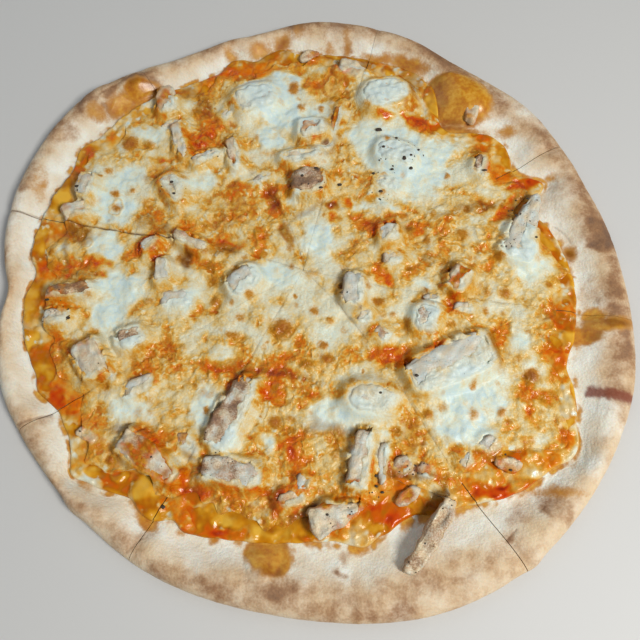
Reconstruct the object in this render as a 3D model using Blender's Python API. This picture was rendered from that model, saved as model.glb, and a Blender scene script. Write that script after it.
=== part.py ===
"""A buffalo chicken pizza about 356 mm across, cut into eight slices that lie together.

Lengths are millimetres until a mesh is made. X runs to the right and Y to the far side of
the pizza, which lies on Z = 0. Each slice is a dough wedge with its share of the rim, a
layer of sauce and a layer of melted cheese, and the pieces of chicken lie on top. Scraps of
chicken that are sunk in the cheese are raised in the cheese itself.
"""
import math
import random

import bmesh
import bpy
from mathutils import Euler, Matrix, Vector, noise
from mathutils.bvhtree import BVHTree
from mathutils.geometry import delaunay_2d_cdt

MM = 0.001

# Heights and thicknesses
BASE_THICK = 4.0
SAUCE_THICK = 0.9
CHEESE_EDGE = 0.7
CHEESE_THICK = 1.5
RIM_HEIGHT = 11.0
WIDEST_HEIGHT = 4.4

# Relief: height, length of its lumps, and where in the noise it is read
RIM_ROLL = (1.3, 34.0, 3.0)
RIM_RIPPLE = (0.35, 9.0, 8.0)
CHEESE_LUMPS = (0.9, 17.0, 5.0)

# Gaps
CLEAR = 0.3
KNIFE_GAP = 0.5
TIP_START = 2.0

# The rim's section: its crest as a share of the way from the outside to the sauce, how much
# later than evenly the slope falls, and the rounded edge below as inset and height
RIM_CREST = 0.32
RIM_SLOPE = 1.1
RIM_UNDERSIDE = ((0.9, 1.8), (3.2, 0.5), (7.0, 0.0))

# Reach of the rim from the middle, at every ten degrees, anticlockwise from +X
RIM_REACH = (
    176, 174, 172, 173, 174, 172, 171, 176, 178, 178, 172, 171,
    172, 180, 186, 186, 184, 180, 174, 175, 178, 176, 174, 174,
    175, 175, 175, 177, 181, 185, 187, 187, 186, 185, 184, 180,
)
# A local dent or swelling of the rim's reach: angle, half width in degrees, amount
RIM_DENTS = (
    (183.0, 3.5, -3.5),
    (226.0, 2.5, 1.5),
    (306.0, 2.0, 1.5),
)

# Reach of the sauce, where the rim begins to rise, at every fifteen degrees
SAUCE_REACH = (
    149, 142, 143, 152, 156, 155, 155, 153, 153, 160, 160, 163,
    163, 162, 155, 160, 155, 146, 142, 143, 145, 161, 161, 150,
)
SAUCE_LOBES = (
    (18.0, 4.0, -4.0),
    (24.0, 3.0, 10.0),
    (30.0, 3.0, -4.0),
    (51.0, 8.0, -26.0),
    (98.0, 4.0, 6.0),
    (108.5, 3.0, 6.0),
    (149.0, 3.0, 5.0),
    (179.0, 3.0, -5.0),
    (204.0, 3.0, 4.0),
    (221.0, 3.0, 6.0),
    (232.0, 4.0, -6.0),
    (241.5, 2.5, -5.0),
    (280.0, 3.0, 4.0),
    (291.0, 4.0, -4.0),
    (325.0, 4.0, 7.0),
    (340.0, 4.0, -5.0),
)

# Width of the ring of bare sauce outside the cheese, at every fifteen degrees
SAUCE_RING = (
    9, 10, 15, 10, 11, 12, 12, 10, 9, 10, 11, 15,
    13, 14, 14, 10, 18, 11, 11, 17, 13, 19, 8, 13,
)

# The cheese's edge wanders along that ring: amount, waves in a turn, and start in degrees
CHEESE_WANDER = ((2.2, 17, 0.0), (1.6, 29, 40.0))
CHEESE_EDGE_WIDTH = 9.0
SAUCE_EDGE_WIDTH = 2.5
SAUCE_SWELL = 0.25

# The cuts: direction at the rim, and how far each has turned by the middle, in degrees
CUT_MEETING = Vector((-5.0, 5.0))
CUTS = (
    (-9.5, -5.0),
    (27.4, 0.0),
    (74.3, 3.0),
    (127.6, -30.0),
    (167.9, -7.0),
    (211.5, 0.0),
    (241.1, 0.0),
    (305.0, 11.0),
)
CUT_STRAIGHT_FROM = 140.0
CUT_DIP = 1.2
CUT_DIP_WIDTH = 3.5
# Steps in which the point of a slice at a given reach is closed in on
REACH_TRIES = 12

# Blown bubbles in the rim: x, y, half length, half width, height, turn in degrees
RIM_BUBBLES = (
    (89.0, 119.0, 21.0, 16.0, 5.0, -25.0),
    (-132.0, 116.0, 14.0, 9.0, 2.2, 60.0),
    (-107.0, 128.0, 13.0, 9.0, 2.4, 20.0),
    (-24.0, -148.0, 12.0, 9.0, 1.8, 80.0),
    (160.0, -30.0, 12.0, 9.0, 1.8, 0.0),
)
# Blown bubbles in the ring of sauce
SAUCE_BUBBLES = (
    (-150.0, 53.0, 13.0, 7.0, 2.0, 78.0),
    (-84.0, -121.0, 14.0, 8.0, 2.2, 115.0),
    (-160.0, 18.0, 14.0, 6.0, 1.2, 95.0),
    (-160.0, -32.0, 12.0, 6.0, 1.2, 105.0),
    (112.0, -116.0, 16.0, 6.0, 1.6, 0.0),
    (145.0, -34.0, 10.0, 7.0, 1.4, 20.0),
    (-66.0, -134.0, 13.0, 5.0, 1.2, 155.0),
)

# How finely the shapes are divided
DEGREES_A_STEP = 3.0
RIM_STEPS = (1.0, 0.87, 0.74, 0.61, 0.48, 0.36, 0.24, 0.14, 0.06, 0.0)
SIDE_STEP = 36.0
CHEESE_STEP = 9.5
SAUCE_STEP = 7.0
CHICKEN_SIDES = 10
SCRAP_SIDES = 7
SHARP_EDGE = 40.0

# A cut piece of chicken: share of its height and of its outline at each ring, its raised
# middle, and how unevenly it was cut
CHICKEN_RINGS = ((0.0, 0.88), (0.28, 1.0), (0.72, 0.97), (1.0, 0.8))
CHICKEN_CROWN = 1.06
CHICKEN_WOBBLE = 0.05

# Pieces are let down from this height until they touch, tested at points this far apart
LET_DOWN_FROM = 40.0
TOUCH_STEP = 0.8

# Chicken: name, x, y, length, width, thickness, turn, taper, squareness, bow, tilt along and
# across. A taper of 1 draws the far end to a point; the bow bends the piece in plan.
CHICKEN = (
    ("chicken_top_left_chunk", -90, 116, 21, 14, 6.0, 100, 0.15, 3, 0, 0, 0),
    ("chicken_pale_strip", -80, 87, 27, 7, 4.5, -72, 0.1, 4, 1.5, 0, 0),
    ("chicken_peppered_strip", -64, 76, 17, 8, 4.5, 28, 0.2, 4, 0, 0, 4),
    ("chicken_left_cube", -133, 57, 14, 11, 6.0, 82, 0.0, 6, 0, 0, 0),
    ("chicken_left_block", -137, 41, 16, 11, 5.0, 15, 0.1, 4, 0, 0, 0),
    ("chicken_grey_chunk", -81, 55, 21, 12, 4.5, -60, 0.1, 3, 0, 0, 0),
    ("chicken_far_slab", -36, 117, 24, 17, 5.0, 20, 0.1, 4, 0, 0, 0),
    ("chicken_far_shred", -47, 79, 22, 9, 4.5, -75, 0.2, 3, 0, 0, 0),
    ("chicken_far_chunk", 0, 95, 17, 13, 5.5, 10, 0.0, 3, 0, 0, 0),
    ("chicken_far_slice", 24, 139, 18, 13, 4.5, -30, 0.1, 4, 0, 0, 0),
    ("chicken_far_mound", 44, 120, 27, 20, 7.0, 10, 0.1, 3, 0, 0, 0),
    ("chicken_long_mound", -7, 77, 24, 9, 4.5, 12, 0.1, 3, 1.0, 0, 0),
    ("chicken_pepper_ball", -2, 59, 22, 18, 7.0, 10, 0.1, 2.5, 0, 0, 0),
    ("chicken_pepper_chunk", 50, 79, 23, 16, 5.5, -20, 0.1, 3, 0, 0, 0),
    ("chicken_charred_oval", 100, 71, 16, 9, 4.5, 80, 0.1, 2.5, 0, 0, 0),
    ("chicken_right_wedge", 122, 31, 46, 23, 5.0, 68, 0.75, 5, -2.0, 0, 0),
    ("chicken_lilac_corner", -92, 20, 12, 9, 4.5, 40, 0.5, 4, 0, 0, 0),
    ("chicken_white_block", -84, 4, 15, 9, 6.0, 100, 0.1, 5, 0, 0, 0),
    ("chicken_curled_strip", -69, 21, 23, 7, 5.5, -24, 0.1, 3, 2.0, 0, 0),
    ("chicken_browned_roll", -134, -9, 27, 8, 6.0, 10, 0.1, 3, 0, 0, 0),
    ("chicken_left_end", -140, -24, 15, 10, 5.0, 5, 0.1, 3, 0, 0, 0),
    ("chicken_layered_piece", -118, -48, 24, 17, 7.0, -60, 0.15, 4, 0, 0, 0),
    ("chicken_brown_lump", -98, -36, 16, 13, 5.5, 20, 0.1, 2.5, 0, 0, 0),
    ("chicken_middle_chunk", -38, -3, 20, 16, 6.0, 40, 0.1, 3, 0, 0, 0),
    ("chicken_small_cube", 44, 26, 12, 12, 5.0, 12, 0.0, 6, 0, 0, 0),
    ("chicken_upright_block", 23, -8, 20, 14, 6.5, 84, 0.1, 4, 0, 0, 0),
    ("chicken_right_cube", 63, -25, 17, 14, 5.5, 70, 0.1, 4, 0, 0, 0),
    ("chicken_sauced_block", 82, -2, 17, 13, 6.0, 60, 0.1, 4, 0, 0, 0),
    ("chicken_great_slab", 74, -50, 49, 20, 5.5, 22, -0.15, 6, 0, 0, 3),
    ("chicken_dark_slice", -42, -77, 42, 18, 5.5, 64, 0.25, 4, 0, 0, 3),
    ("chicken_lower_slab", -41, -107, 33, 15, 6.0, -12, 0.1, 3, 0, 0, 0),
    ("chicken_lower_mound", 31, -69, 25, 17, 5.5, -10, 0.1, 2.5, 0, 0, 0),
    ("chicken_lower_slice", 25, -101, 30, 12, 6.5, 80, 0.1, 4, 0, 0, 0),
    ("chicken_near_triangle", 12, -128, 28, 19, 6.0, 20, 0.7, 5, 0, 0, 5),
    ("chicken_rim_strip", 59, -138, 42, 10, 5.5, 58, 0.1, 4, 1.5, 0, 0),
    ("chicken_red_triangle", -83, -100, 38, 17, 5.5, -36, 0.4, 4, 0, 0, 3),
)

# Scraps of chicken sunk in the cheese: x, y, length, width, height, turn
SCRAPS = (
    (8.0, 85.5, 12.0, 6.0, 2.2, 10.0),
    (45.0, 60.0, 16.0, 10.0, 2.4, -20.0),
    (14.5, 104.0, 24.0, 6.0, 1.6, 80.0),
    (-75.0, -13.0, 19.0, 12.0, 2.2, 5.0),
    (46.0, 12.0, 12.0, 10.0, 2.0, 0.0),
    (29.0, -23.0, 9.0, 8.0, 2.2, 0.0),
    (39.0, -33.0, 11.0, 8.0, 2.2, -30.0),
    (84.0, -18.0, 12.0, 7.0, 2.2, -8.0),
    (-92.0, -62.0, 18.0, 10.0, 2.4, 32.0),
    (36.5, -103.0, 23.0, 6.0, 3.0, 86.0),
    (46.5, -104.0, 11.0, 9.0, 2.4, 40.0),
    (59.0, -106.0, 10.0, 9.0, 2.4, 0.0),
    (-10.0, -120.0, 15.0, 9.0, 2.4, 15.0),
    (80.0, -101.0, 9.0, 7.0, 2.0, 30.0),
    (92.0, -93.0, 11.0, 9.0, 2.2, 20.0),
)
# The part of a scrap's outline that is at its full height, and how clear of it the cheese's
# own points keep
SCRAP_TOP = 0.7
SCRAP_ROOM = 1.5


def smooth_ring(values, angle):
    """Value at an angle in degrees, on a smooth closed curve through evenly spaced values."""
    count = len(values)
    place = (angle % 360.0) / 360.0 * count
    low = int(place) % count
    t = place - int(place)
    a, b, c, d = (values[(low + k) % count] for k in (-1, 0, 1, 2))
    return b + 0.5 * t * (c - a + t * (2 * a - 5 * b + 4 * c - d + t * (3 * (b - c) + d - a)))


def bell(distance, width):
    return math.exp(-((distance / width) ** 2))


def turn_between(a, b):
    return (a - b + 180.0) % 360.0 - 180.0


def with_lobes(value, lobes, angle):
    return value + sum(amount * bell(turn_between(angle, at), half) for at, half, amount in lobes)


def rim_reach(angle):
    return with_lobes(smooth_ring(RIM_REACH, angle), RIM_DENTS, angle)


def sauce_reach(angle):
    return with_lobes(smooth_ring(SAUCE_REACH, angle), SAUCE_LOBES, angle)


def cheese_reach(angle):
    """The cheese's edge, which wanders a few millimetres in and out along the ring of sauce."""
    wander = sum(far * math.sin(math.radians(waves * angle + start)) for far, waves, start in CHEESE_WANDER)
    return sauce_reach(angle) - smooth_ring(SAUCE_RING, angle) + wander


def polar(point):
    return math.hypot(point.x, point.y), math.degrees(math.atan2(point.y, point.x))


def along_cut(number, distance):
    """Direction of a cut, in degrees about its meeting point, at a distance from that point."""
    end, turned = CUTS[number % len(CUTS)]
    full_turns = 360.0 * (number // len(CUTS))
    inner = max(0.0, 1.0 - distance / CUT_STRAIGHT_FROM)
    return end + full_turns + turned * inner ** 1.5


def slice_point(number, across, distance):
    """Point of a slice: across is 0 at its first cut and 1 at its last, kept half a gap away."""
    half_gap = math.degrees(0.5 * KNIFE_GAP / distance)
    first = along_cut(number, distance) + half_gap
    last = along_cut(number + 1, distance) - half_gap
    turn = math.radians(first + (last - first) * across)
    return CUT_MEETING + distance * Vector((math.cos(turn), math.sin(turn)))


def slice_point_at(number, across, reach):
    """Point of a slice that lies on the closed curve given by reach(angle)."""
    distance = CUT_STRAIGHT_FROM
    for _ in range(REACH_TRIES):
        radius, angle = polar(slice_point(number, across, distance))
        distance += reach(angle) - radius
    return slice_point(number, across, distance)


def along_and_across(x, y, at_x, at_y, turn):
    """A point as seen from a place that is turned by an angle in degrees."""
    c, s = math.cos(math.radians(turn)), math.sin(math.radians(turn))
    return (x - at_x) * c + (y - at_y) * s, (y - at_y) * c - (x - at_x) * s


def bubble_height(x, y, bubbles):
    height = 0.0
    for at_x, at_y, half_length, half_width, rise, turn in bubbles:
        along, across = along_and_across(x, y, at_x, at_y, turn)
        inside_share = 1.0 - (along / half_length) ** 2 - (across / half_width) ** 2
        height += rise * max(0.0, inside_share) ** 0.7
    return height


def unevenness(x, y, relief):
    """Rolling relief, up or down by about its height, with lumps of its length."""
    height, length, level = relief
    return height * 1.6 * noise.noise(Vector((x / length, y / length, level)))


def scrap_distance(x, y, scrap):
    """Distance from the middle of a scrap, where 1 is its outline."""
    at_x, at_y, length, width, _, turn = scrap
    along, across = along_and_across(x, y, at_x, at_y, turn)
    return math.hypot(2 * along / length, 2 * across / width)


def scrap_height(x, y):
    height = 0.0
    for scrap in SCRAPS:
        share = (1.0 - scrap_distance(x, y, scrap)) / (1.0 - SCRAP_TOP)
        height = max(height, scrap[4] * min(1.0, share))
    return height


def cut_dip(x, y):
    """How far the knife has pressed the dough down beside the nearest cut."""
    offset = Vector((x, y)) - CUT_MEETING
    distance, angle = polar(offset)
    nearest = min(abs(turn_between(angle, along_cut(k, distance))) for k in range(len(CUTS)))
    return CUT_DIP * bell(math.radians(nearest) * distance, CUT_DIP_WIDTH)


def crust_top(x, y):
    """Height of the dough: flat under the sauce, then the rim's long slope and round outside."""
    radius, angle = polar(Vector((x, y)))
    outer, foot = rim_reach(angle), sauce_reach(angle)
    share = min(1.0, max(0.0, (outer - radius) / (outer - foot)))
    crest = RIM_HEIGHT + unevenness(x, y, RIM_ROLL) - cut_dip(x, y)
    if share < RIM_CREST:
        up = math.sqrt(max(0.0, 1.0 - (1.0 - share / RIM_CREST) ** 2))
        height = WIDEST_HEIGHT + (crest - WIDEST_HEIGHT) * up
    else:
        slope_share = (share - RIM_CREST) / (1.0 - RIM_CREST)
        down = math.cos(math.pi / 2 * slope_share ** RIM_SLOPE) ** 2
        height = BASE_THICK + (crest - BASE_THICK) * down
    ripple = unevenness(x, y, RIM_RIPPLE) * math.sin(math.pi * share)
    foot_fade = min(1.0, (1.0 - share) * 6.0)
    return height + ripple + bubble_height(x, y, RIM_BUBBLES) * foot_fade


SAUCE_BOTTOM = BASE_THICK + CLEAR
SAUCE_TOP = SAUCE_BOTTOM + SAUCE_THICK
CHEESE_BOTTOM = SAUCE_TOP + CLEAR


def sauce_top(x, y):
    """Height of the sauce: flat under the cheese, with blown bubbles in its bare ring."""
    radius, angle = polar(Vector((x, y)))
    inner, outer = cheese_reach(angle), sauce_reach(angle)
    from_cheese = min(1.0, max(0.0, (radius - inner) / SAUCE_EDGE_WIDTH))
    from_rim = min(1.0, max(0.0, (outer - radius) / SAUCE_EDGE_WIDTH))
    swell = SAUCE_SWELL + bubble_height(x, y, SAUCE_BUBBLES)
    return SAUCE_TOP + from_cheese * from_rim * swell


def cheese_top(x, y):
    """Height of the melted cheese: lumpy, thin at its outer edge, and raised over scraps."""
    radius, angle = polar(Vector((x, y)))
    edge = min(1.0, max(0.0, (cheese_reach(angle) - radius) / CHEESE_EDGE_WIDTH))
    lumps = CHEESE_THICK + unevenness(x, y, CHEESE_LUMPS)
    thickness = CHEESE_EDGE + (lumps - CHEESE_EDGE) * math.sin(edge * math.pi / 2)
    return CHEESE_BOTTOM + thickness + scrap_height(x, y)


def material(name, colour, roughness):
    made = bpy.data.materials.new(name)
    made.use_nodes = True
    shader = made.node_tree.nodes["Principled BSDF"]
    shader.inputs["Base Color"].default_value = (*colour, 1.0)
    shader.inputs["Roughness"].default_value = roughness
    shader.inputs["Metallic"].default_value = 0.0
    made.diffuse_color = (*colour, 1.0)
    return made


def add_object(name, corners, faces, finish):
    """One closed piece from corners in millimetres, with its faces turned outwards."""
    mesh = bpy.data.meshes.new(name)
    mesh.from_pydata([Vector(corner) * MM for corner in corners], [], faces)
    shape = bmesh.new()
    shape.from_mesh(mesh)
    bmesh.ops.triangulate(shape, faces=shape.faces)
    bmesh.ops.recalc_face_normals(shape, faces=shape.faces)
    shape.to_mesh(mesh)
    shape.free()
    mesh.materials.append(finish)
    mesh.shade_smooth()
    mesh.set_sharp_from_angle(angle=math.radians(SHARP_EDGE))
    made = bpy.data.objects.new(name, mesh)
    bpy.context.scene.collection.objects.link(made)
    return made


def steps_across(number):
    span = along_cut(number + 1, CUT_STRAIGHT_FROM) - along_cut(number, CUT_STRAIGHT_FROM)
    return round(span / DEGREES_A_STEP)


def side_distances(number, across, reach, step):
    """Even distances along a cut from the slice's tip to a closed curve, without its end."""
    end = (slice_point_at(number, across, reach) - CUT_MEETING).length
    count = round((end - TIP_START) / step)
    return [TIP_START + (end - TIP_START) * k / count for k in range(count)]


def slice_outline(number, reach, step):
    """Closed outline of a slice out to a curve: up the first cut, round, and down the last."""
    across_steps = steps_across(number)
    outline = [slice_point(number, 0.0, d) for d in side_distances(number, 0.0, reach, step)]
    outline += [slice_point_at(number, j / across_steps, reach) for j in range(across_steps + 1)]
    outline += [slice_point(number, 1.0, d) for d in reversed(side_distances(number, 1.0, reach, step))]
    return outline


def crust_slice(number, finish):
    """Dough wedge: a flat floor, the rim's profile swept along the edge, and a flat underside."""
    columns = steps_across(number) + 1
    corners, faces = [], []

    def add(point, height):
        corners.append((point.x, point.y, height))
        return len(corners) - 1

    def between(share):
        return lambda angle: rim_reach(angle) + (sauce_reach(angle) - rim_reach(angle)) * share

    def inset(amount):
        return lambda angle: rim_reach(angle) - amount

    rows = []
    for share in RIM_STEPS:
        points = [slice_point_at(number, j / (columns - 1), between(share)) for j in range(columns)]
        rows.append([add(p, crust_top(p.x, p.y)) for p in points])
    for amount, height in RIM_UNDERSIDE:
        points = [slice_point_at(number, j / (columns - 1), inset(amount)) for j in range(columns)]
        rows.append([add(p, height) for p in points])
    for lower, upper in zip(rows, rows[1:]):
        for j in range(columns - 1):
            faces.append((lower[j], lower[j + 1], upper[j + 1], upper[j]))

    sides = []
    for across in (0.0, 1.0):
        distances = side_distances(number, across, sauce_reach, SIDE_STEP)
        points = [slice_point(number, across, d) for d in distances]
        sides.append(([add(p, BASE_THICK) for p in points], [add(p, 0.0) for p in points]))
    (first_top, first_low), (last_top, last_low) = sides
    faces.append(first_top + rows[0] + last_top[::-1])

    feet = [corners[rows[0][0]], corners[rows[0][-1]]]
    foot_low = [add(Vector(foot[:2]), 0.0) for foot in feet]
    faces.append(first_low + [foot_low[0]] + rows[-1] + [foot_low[1]] + last_low[::-1])

    for (top, low), foot, column in zip(sides, foot_low, (0, -1)):
        upper = top + [rows[0][column]]
        under = low + [foot]
        for k in range(len(upper) - 1):
            faces.append((upper[k], upper[k + 1], under[k + 1], under[k]))
        faces.append([row[column] for row in rows] + [foot])
    faces.append((first_top[0], last_top[0], last_low[0], first_low[0]))
    return add_object(f"crust_slice_{number + 1}", corners, faces, finish)


def inside(point, outline):
    """True if a point lies inside a closed outline."""
    within = False
    for a, b in zip(outline, outline[1:] + outline[:1]):
        if (a.y > point.y) != (b.y > point.y):
            if point.x < a.x + (point.y - a.y) * (b.x - a.x) / (b.y - a.y):
                within = not within
    return within


def away_from(point, outline, distance):
    return all((point - corner).length > distance for corner in outline)


def filling_points(outline, step, wanted):
    """Points in a staggered grid inside an outline, clear of its corners."""
    low_x, high_x = min(p.x for p in outline), max(p.x for p in outline)
    low_y, high_y = min(p.y for p in outline), max(p.y for p in outline)
    row_step = step * math.sqrt(3) / 2
    found = []
    row = math.floor(low_y / row_step)
    while row * row_step < high_y:
        x = math.floor(low_x / step) * step + (row % 2) * step / 2
        while x < high_x:
            point = Vector((x, row * row_step))
            if wanted(point) and inside(point, outline) and away_from(point, outline, 0.55 * step):
                found.append(point)
            x += step
        row += 1
    return found


def scrap_ring(scrap, share):
    """Closed outline round a scrap, at a share of its size."""
    at_x, at_y, length, width, _, turn = scrap
    spin = Matrix.Rotation(math.radians(turn), 2)
    ring = []
    for k in range(SCRAP_SIDES):
        around = 2 * math.pi * k / SCRAP_SIDES
        corner = Vector((math.cos(around) * length, math.sin(around) * width)) * (share / 2)
        ring.append(Vector((at_x, at_y)) + spin @ corner)
    return ring


def layer_slice(name, outline, inner_lines, extra, bottom, top_height, finish):
    """A layer with an upright edge, a flat bottom and a top raised to top_height(x, y)."""
    points = list(outline)
    edges = [(k, (k + 1) % len(outline)) for k in range(len(outline))]
    for line in inner_lines:
        start = len(points)
        points += line
        edges += [(start + k, start + k + 1) for k in range(len(line) - 1)]
    points += extra
    flat, _, triangles, *_ = delaunay_2d_cdt(points, edges, [], 1, 1e-4)
    corners = [(p.x, p.y, top_height(p.x, p.y)) for p in flat]
    faces = [tuple(t) for t in triangles]
    rim = [min(range(len(flat)), key=lambda k: (flat[k] - p).length) for p in outline]
    low = range(len(corners), len(corners) + len(outline))
    corners += [(p.x, p.y, bottom) for p in outline]
    for k in range(len(outline)):
        after = (k + 1) % len(outline)
        faces.append((rim[k], rim[after], low[after], low[k]))
    faces.append(tuple(low))
    return add_object(name, corners, faces, finish)


def sauce_slice(number, finish):
    """Sauce layer, whose top stays flat inside the line where the cheese ends."""
    def edge(angle):
        return sauce_reach(angle) - CLEAR

    def in_bare_ring(point):
        radius, angle = polar(point)
        return radius > cheese_reach(angle) + 2.0

    columns = steps_across(number)
    cheese_line = [slice_point_at(number, j / columns, cheese_reach) for j in range(columns + 1)]
    outline = slice_outline(number, edge, SIDE_STEP)
    near_side = side_distances(number, 0.0, edge, SIDE_STEP)
    outline.insert(len(near_side), cheese_line[0])
    outline.insert(len(near_side) + columns + 2, cheese_line[-1])
    extra = filling_points(outline, SAUCE_STEP, in_bare_ring)
    extra = [p for p in extra if away_from(p, cheese_line, 2.0)]
    return layer_slice(
        f"sauce_slice_{number + 1}", outline, [cheese_line], extra, SAUCE_BOTTOM, sauce_top, finish
    )


def cheese_slice(number, finish):
    def edge(angle):
        return cheese_reach(angle) - CLEAR

    def clear_of_scraps(point):
        return all(scrap_distance(point.x, point.y, scrap) > SCRAP_ROOM for scrap in SCRAPS)

    outline = slice_outline(number, edge, CHEESE_STEP)
    extra = filling_points(outline, CHEESE_STEP, clear_of_scraps)
    rings = []
    for scrap in SCRAPS:
        if inside(Vector(scrap[:2]), outline):
            foot, top = scrap_ring(scrap, 1.0), scrap_ring(scrap, SCRAP_TOP)
            rings += [foot + foot[:1], top + top[:1]]
    return layer_slice(
        f"cheese_slice_{number + 1}", outline, rings, extra, CHEESE_BOTTOM, cheese_top, finish
    )


def chicken_outline(length, width, taper, squareness, bow, draw):
    """Outline of a cut piece, seen from above, with a hand-cut wobble."""
    outline = []
    for k in range(CHICKEN_SIDES):
        turn = 2 * math.pi * (k + 0.5) / CHICKEN_SIDES
        c, s = math.cos(turn), math.sin(turn)
        x = math.copysign(abs(c) ** (2 / squareness), c) * length / 2
        y = math.copysign(abs(s) ** (2 / squareness), s) * width / 2
        along = 2 * x / length
        y = y * (1.0 - taper * (along + 1.0) / 2) + bow * (along * along - 0.33)
        wobble = 1.0 + draw.uniform(-CHICKEN_WOBBLE, CHICKEN_WOBBLE)
        outline.append(Vector((x * wobble, y * wobble)))
    return outline


def chicken_piece(entry, ground, finish):
    """A piece of chicken set down so that it just clears whatever lies under it."""
    name, x, y, length, width, thick, turn, taper, squareness, bow, tilt_x, tilt_y = entry
    draw = random.Random(name)
    outline = chicken_outline(length, width, taper, squareness, bow, draw)
    corners = []
    for height, grown in CHICKEN_RINGS:
        for point in outline:
            lift = draw.uniform(-CHICKEN_WOBBLE, CHICKEN_WOBBLE) if height == 1.0 else 0.0
            corners.append((point.x * grown, point.y * grown, thick * (height + lift)))
    sides = CHICKEN_SIDES
    faces = [tuple(range(sides))]
    last = (len(CHICKEN_RINGS) - 1) * sides
    for start in range(0, last, sides):
        for k in range(sides):
            after = (k + 1) % sides
            faces.append((start + k, start + after, start + sides + after, start + sides + k))
    corners.append((0.0, 0.0, thick * CHICKEN_CROWN))
    faces += [(last + k, last + (k + 1) % sides, last + sides) for k in range(sides)]
    tilt = Euler((math.radians(tilt_x), math.radians(tilt_y), math.radians(turn)))
    pose = Matrix.LocRotScale(Vector((x, y, LET_DOWN_FROM)), tilt, None)
    placed = [pose @ Vector(corner) for corner in corners]
    drop = settling_drop(placed, faces, ground)
    placed = [corner - Vector((0.0, 0.0, drop)) for corner in placed]
    return add_object(name, placed, faces, finish)


def settling_drop(corners, faces, ground):
    """Greatest fall that leaves the clearance under a piece, tested on a fine grid."""
    shell = BVHTree.FromPolygons(corners, faces)
    up, down = Vector((0.0, 0.0, 1.0)), Vector((0.0, 0.0, -1.0))
    low_x, high_x = min(c.x for c in corners), max(c.x for c in corners)
    low_y, high_y = min(c.y for c in corners), max(c.y for c in corners)
    drop = LET_DOWN_FROM
    for i in range(int((high_x - low_x) / TOUCH_STEP) + 1):
        for j in range(int((high_y - low_y) / TOUCH_STEP) + 1):
            x, y = low_x + i * TOUCH_STEP, low_y + j * TOUCH_STEP
            under = shell.ray_cast(Vector((x, y, 0.0)), up)[0]
            floor = ground.ray_cast(Vector((x, y, LET_DOWN_FROM)), down)[0]
            if under and floor:
                drop = min(drop, under.z - floor.z - CLEAR)
    for corner in corners:
        floor = ground.ray_cast(Vector((corner.x, corner.y, LET_DOWN_FROM)), down)[0]
        if floor:
            drop = min(drop, corner.z - floor.z - CLEAR)
    return drop


def ground_tree(objects):
    """Everything that a new piece may rest on, in millimetres."""
    corners, faces = [], []
    for made in objects:
        start = len(corners)
        corners += [vertex.co / MM for vertex in made.data.vertices]
        faces += [[start + v for v in face.vertices] for face in made.data.polygons]
    return BVHTree.FromPolygons(corners, faces)


def stand_on_origin(objects):
    """Moves the whole pizza so that the middle of its outline is the origin."""
    spots = [vertex.co for made in objects for vertex in made.data.vertices]
    middle_x = (min(s.x for s in spots) + max(s.x for s in spots)) / 2
    middle_y = (min(s.y for s in spots) + max(s.y for s in spots)) / 2
    for made in objects:
        made.data.transform(Matrix.Translation((-middle_x, -middle_y, 0.0)))


def main():
    for existing in list(bpy.data.objects):
        bpy.data.objects.remove(existing, do_unlink=True)
    dough = material("baked_dough", (0.78, 0.63, 0.44), 0.75)
    sauce = material("buffalo_sauce", (0.72, 0.22, 0.03), 0.3)
    cheese = material("melted_cheese", (0.82, 0.70, 0.45), 0.4)
    chicken = material("roast_chicken", (0.70, 0.60, 0.52), 0.5)
    made = []
    for number in range(len(CUTS)):
        made.append(crust_slice(number, dough))
        made.append(sauce_slice(number, sauce))
        made.append(cheese_slice(number, cheese))
    for entry in CHICKEN:
        made.append(chicken_piece(entry, ground_tree(made), chicken))
    stand_on_origin(made)


main()
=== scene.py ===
# %% [markdown]
# # A buffalo chicken pizza
#
# The solids of this pizza are made already: eight wedges of dough, a layer of sauce and a
# layer of cheese on each, and the larger pieces of chicken. This lesson gives each of them
# the fine surface and the finish of the real food. Everything is worked out in millimetres
# from the pizza's own named sizes, and turned into metres when a mesh is made.

# %% Load the solids
import math

import bmesh
import bpy
import numpy as np
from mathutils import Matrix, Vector, noise
from mathutils.bvhtree import BVHTree


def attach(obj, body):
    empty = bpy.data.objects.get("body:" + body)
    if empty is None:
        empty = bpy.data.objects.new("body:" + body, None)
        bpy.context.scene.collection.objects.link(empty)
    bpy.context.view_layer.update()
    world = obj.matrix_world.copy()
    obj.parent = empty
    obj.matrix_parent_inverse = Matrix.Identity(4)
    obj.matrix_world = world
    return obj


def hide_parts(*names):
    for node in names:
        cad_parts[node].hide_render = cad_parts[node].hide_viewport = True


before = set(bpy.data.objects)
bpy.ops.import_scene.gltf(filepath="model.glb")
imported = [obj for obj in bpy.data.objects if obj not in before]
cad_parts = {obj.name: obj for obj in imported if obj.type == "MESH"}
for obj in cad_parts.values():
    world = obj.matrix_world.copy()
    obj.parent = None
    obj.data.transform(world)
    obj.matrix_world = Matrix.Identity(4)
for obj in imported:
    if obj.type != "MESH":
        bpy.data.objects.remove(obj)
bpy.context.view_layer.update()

# %% [markdown]
# ## The named sizes
#
# A piece that stands for a solid has to lie where the solid lies, so the same driving sizes
# are used here. The rim and the sauce are closed curves, given as a reach from the middle at
# even steps of angle, and each cut is a direction that turns a little towards the middle.

# %% Heights, gaps and curves
MM = 0.001
BASE_THICK = 4.0
SAUCE_THICK = 0.9
CHEESE_EDGE = 0.7
CHEESE_THICK = 1.5
RIM_HEIGHT = 11.0
WIDEST_HEIGHT = 4.4
CLEAR = 0.3
KNIFE_GAP = 0.5
TIP_START = 2.0
SAUCE_BOTTOM = BASE_THICK + CLEAR
SAUCE_TOP = SAUCE_BOTTOM + SAUCE_THICK
CHEESE_BOTTOM = SAUCE_TOP + CLEAR

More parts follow.
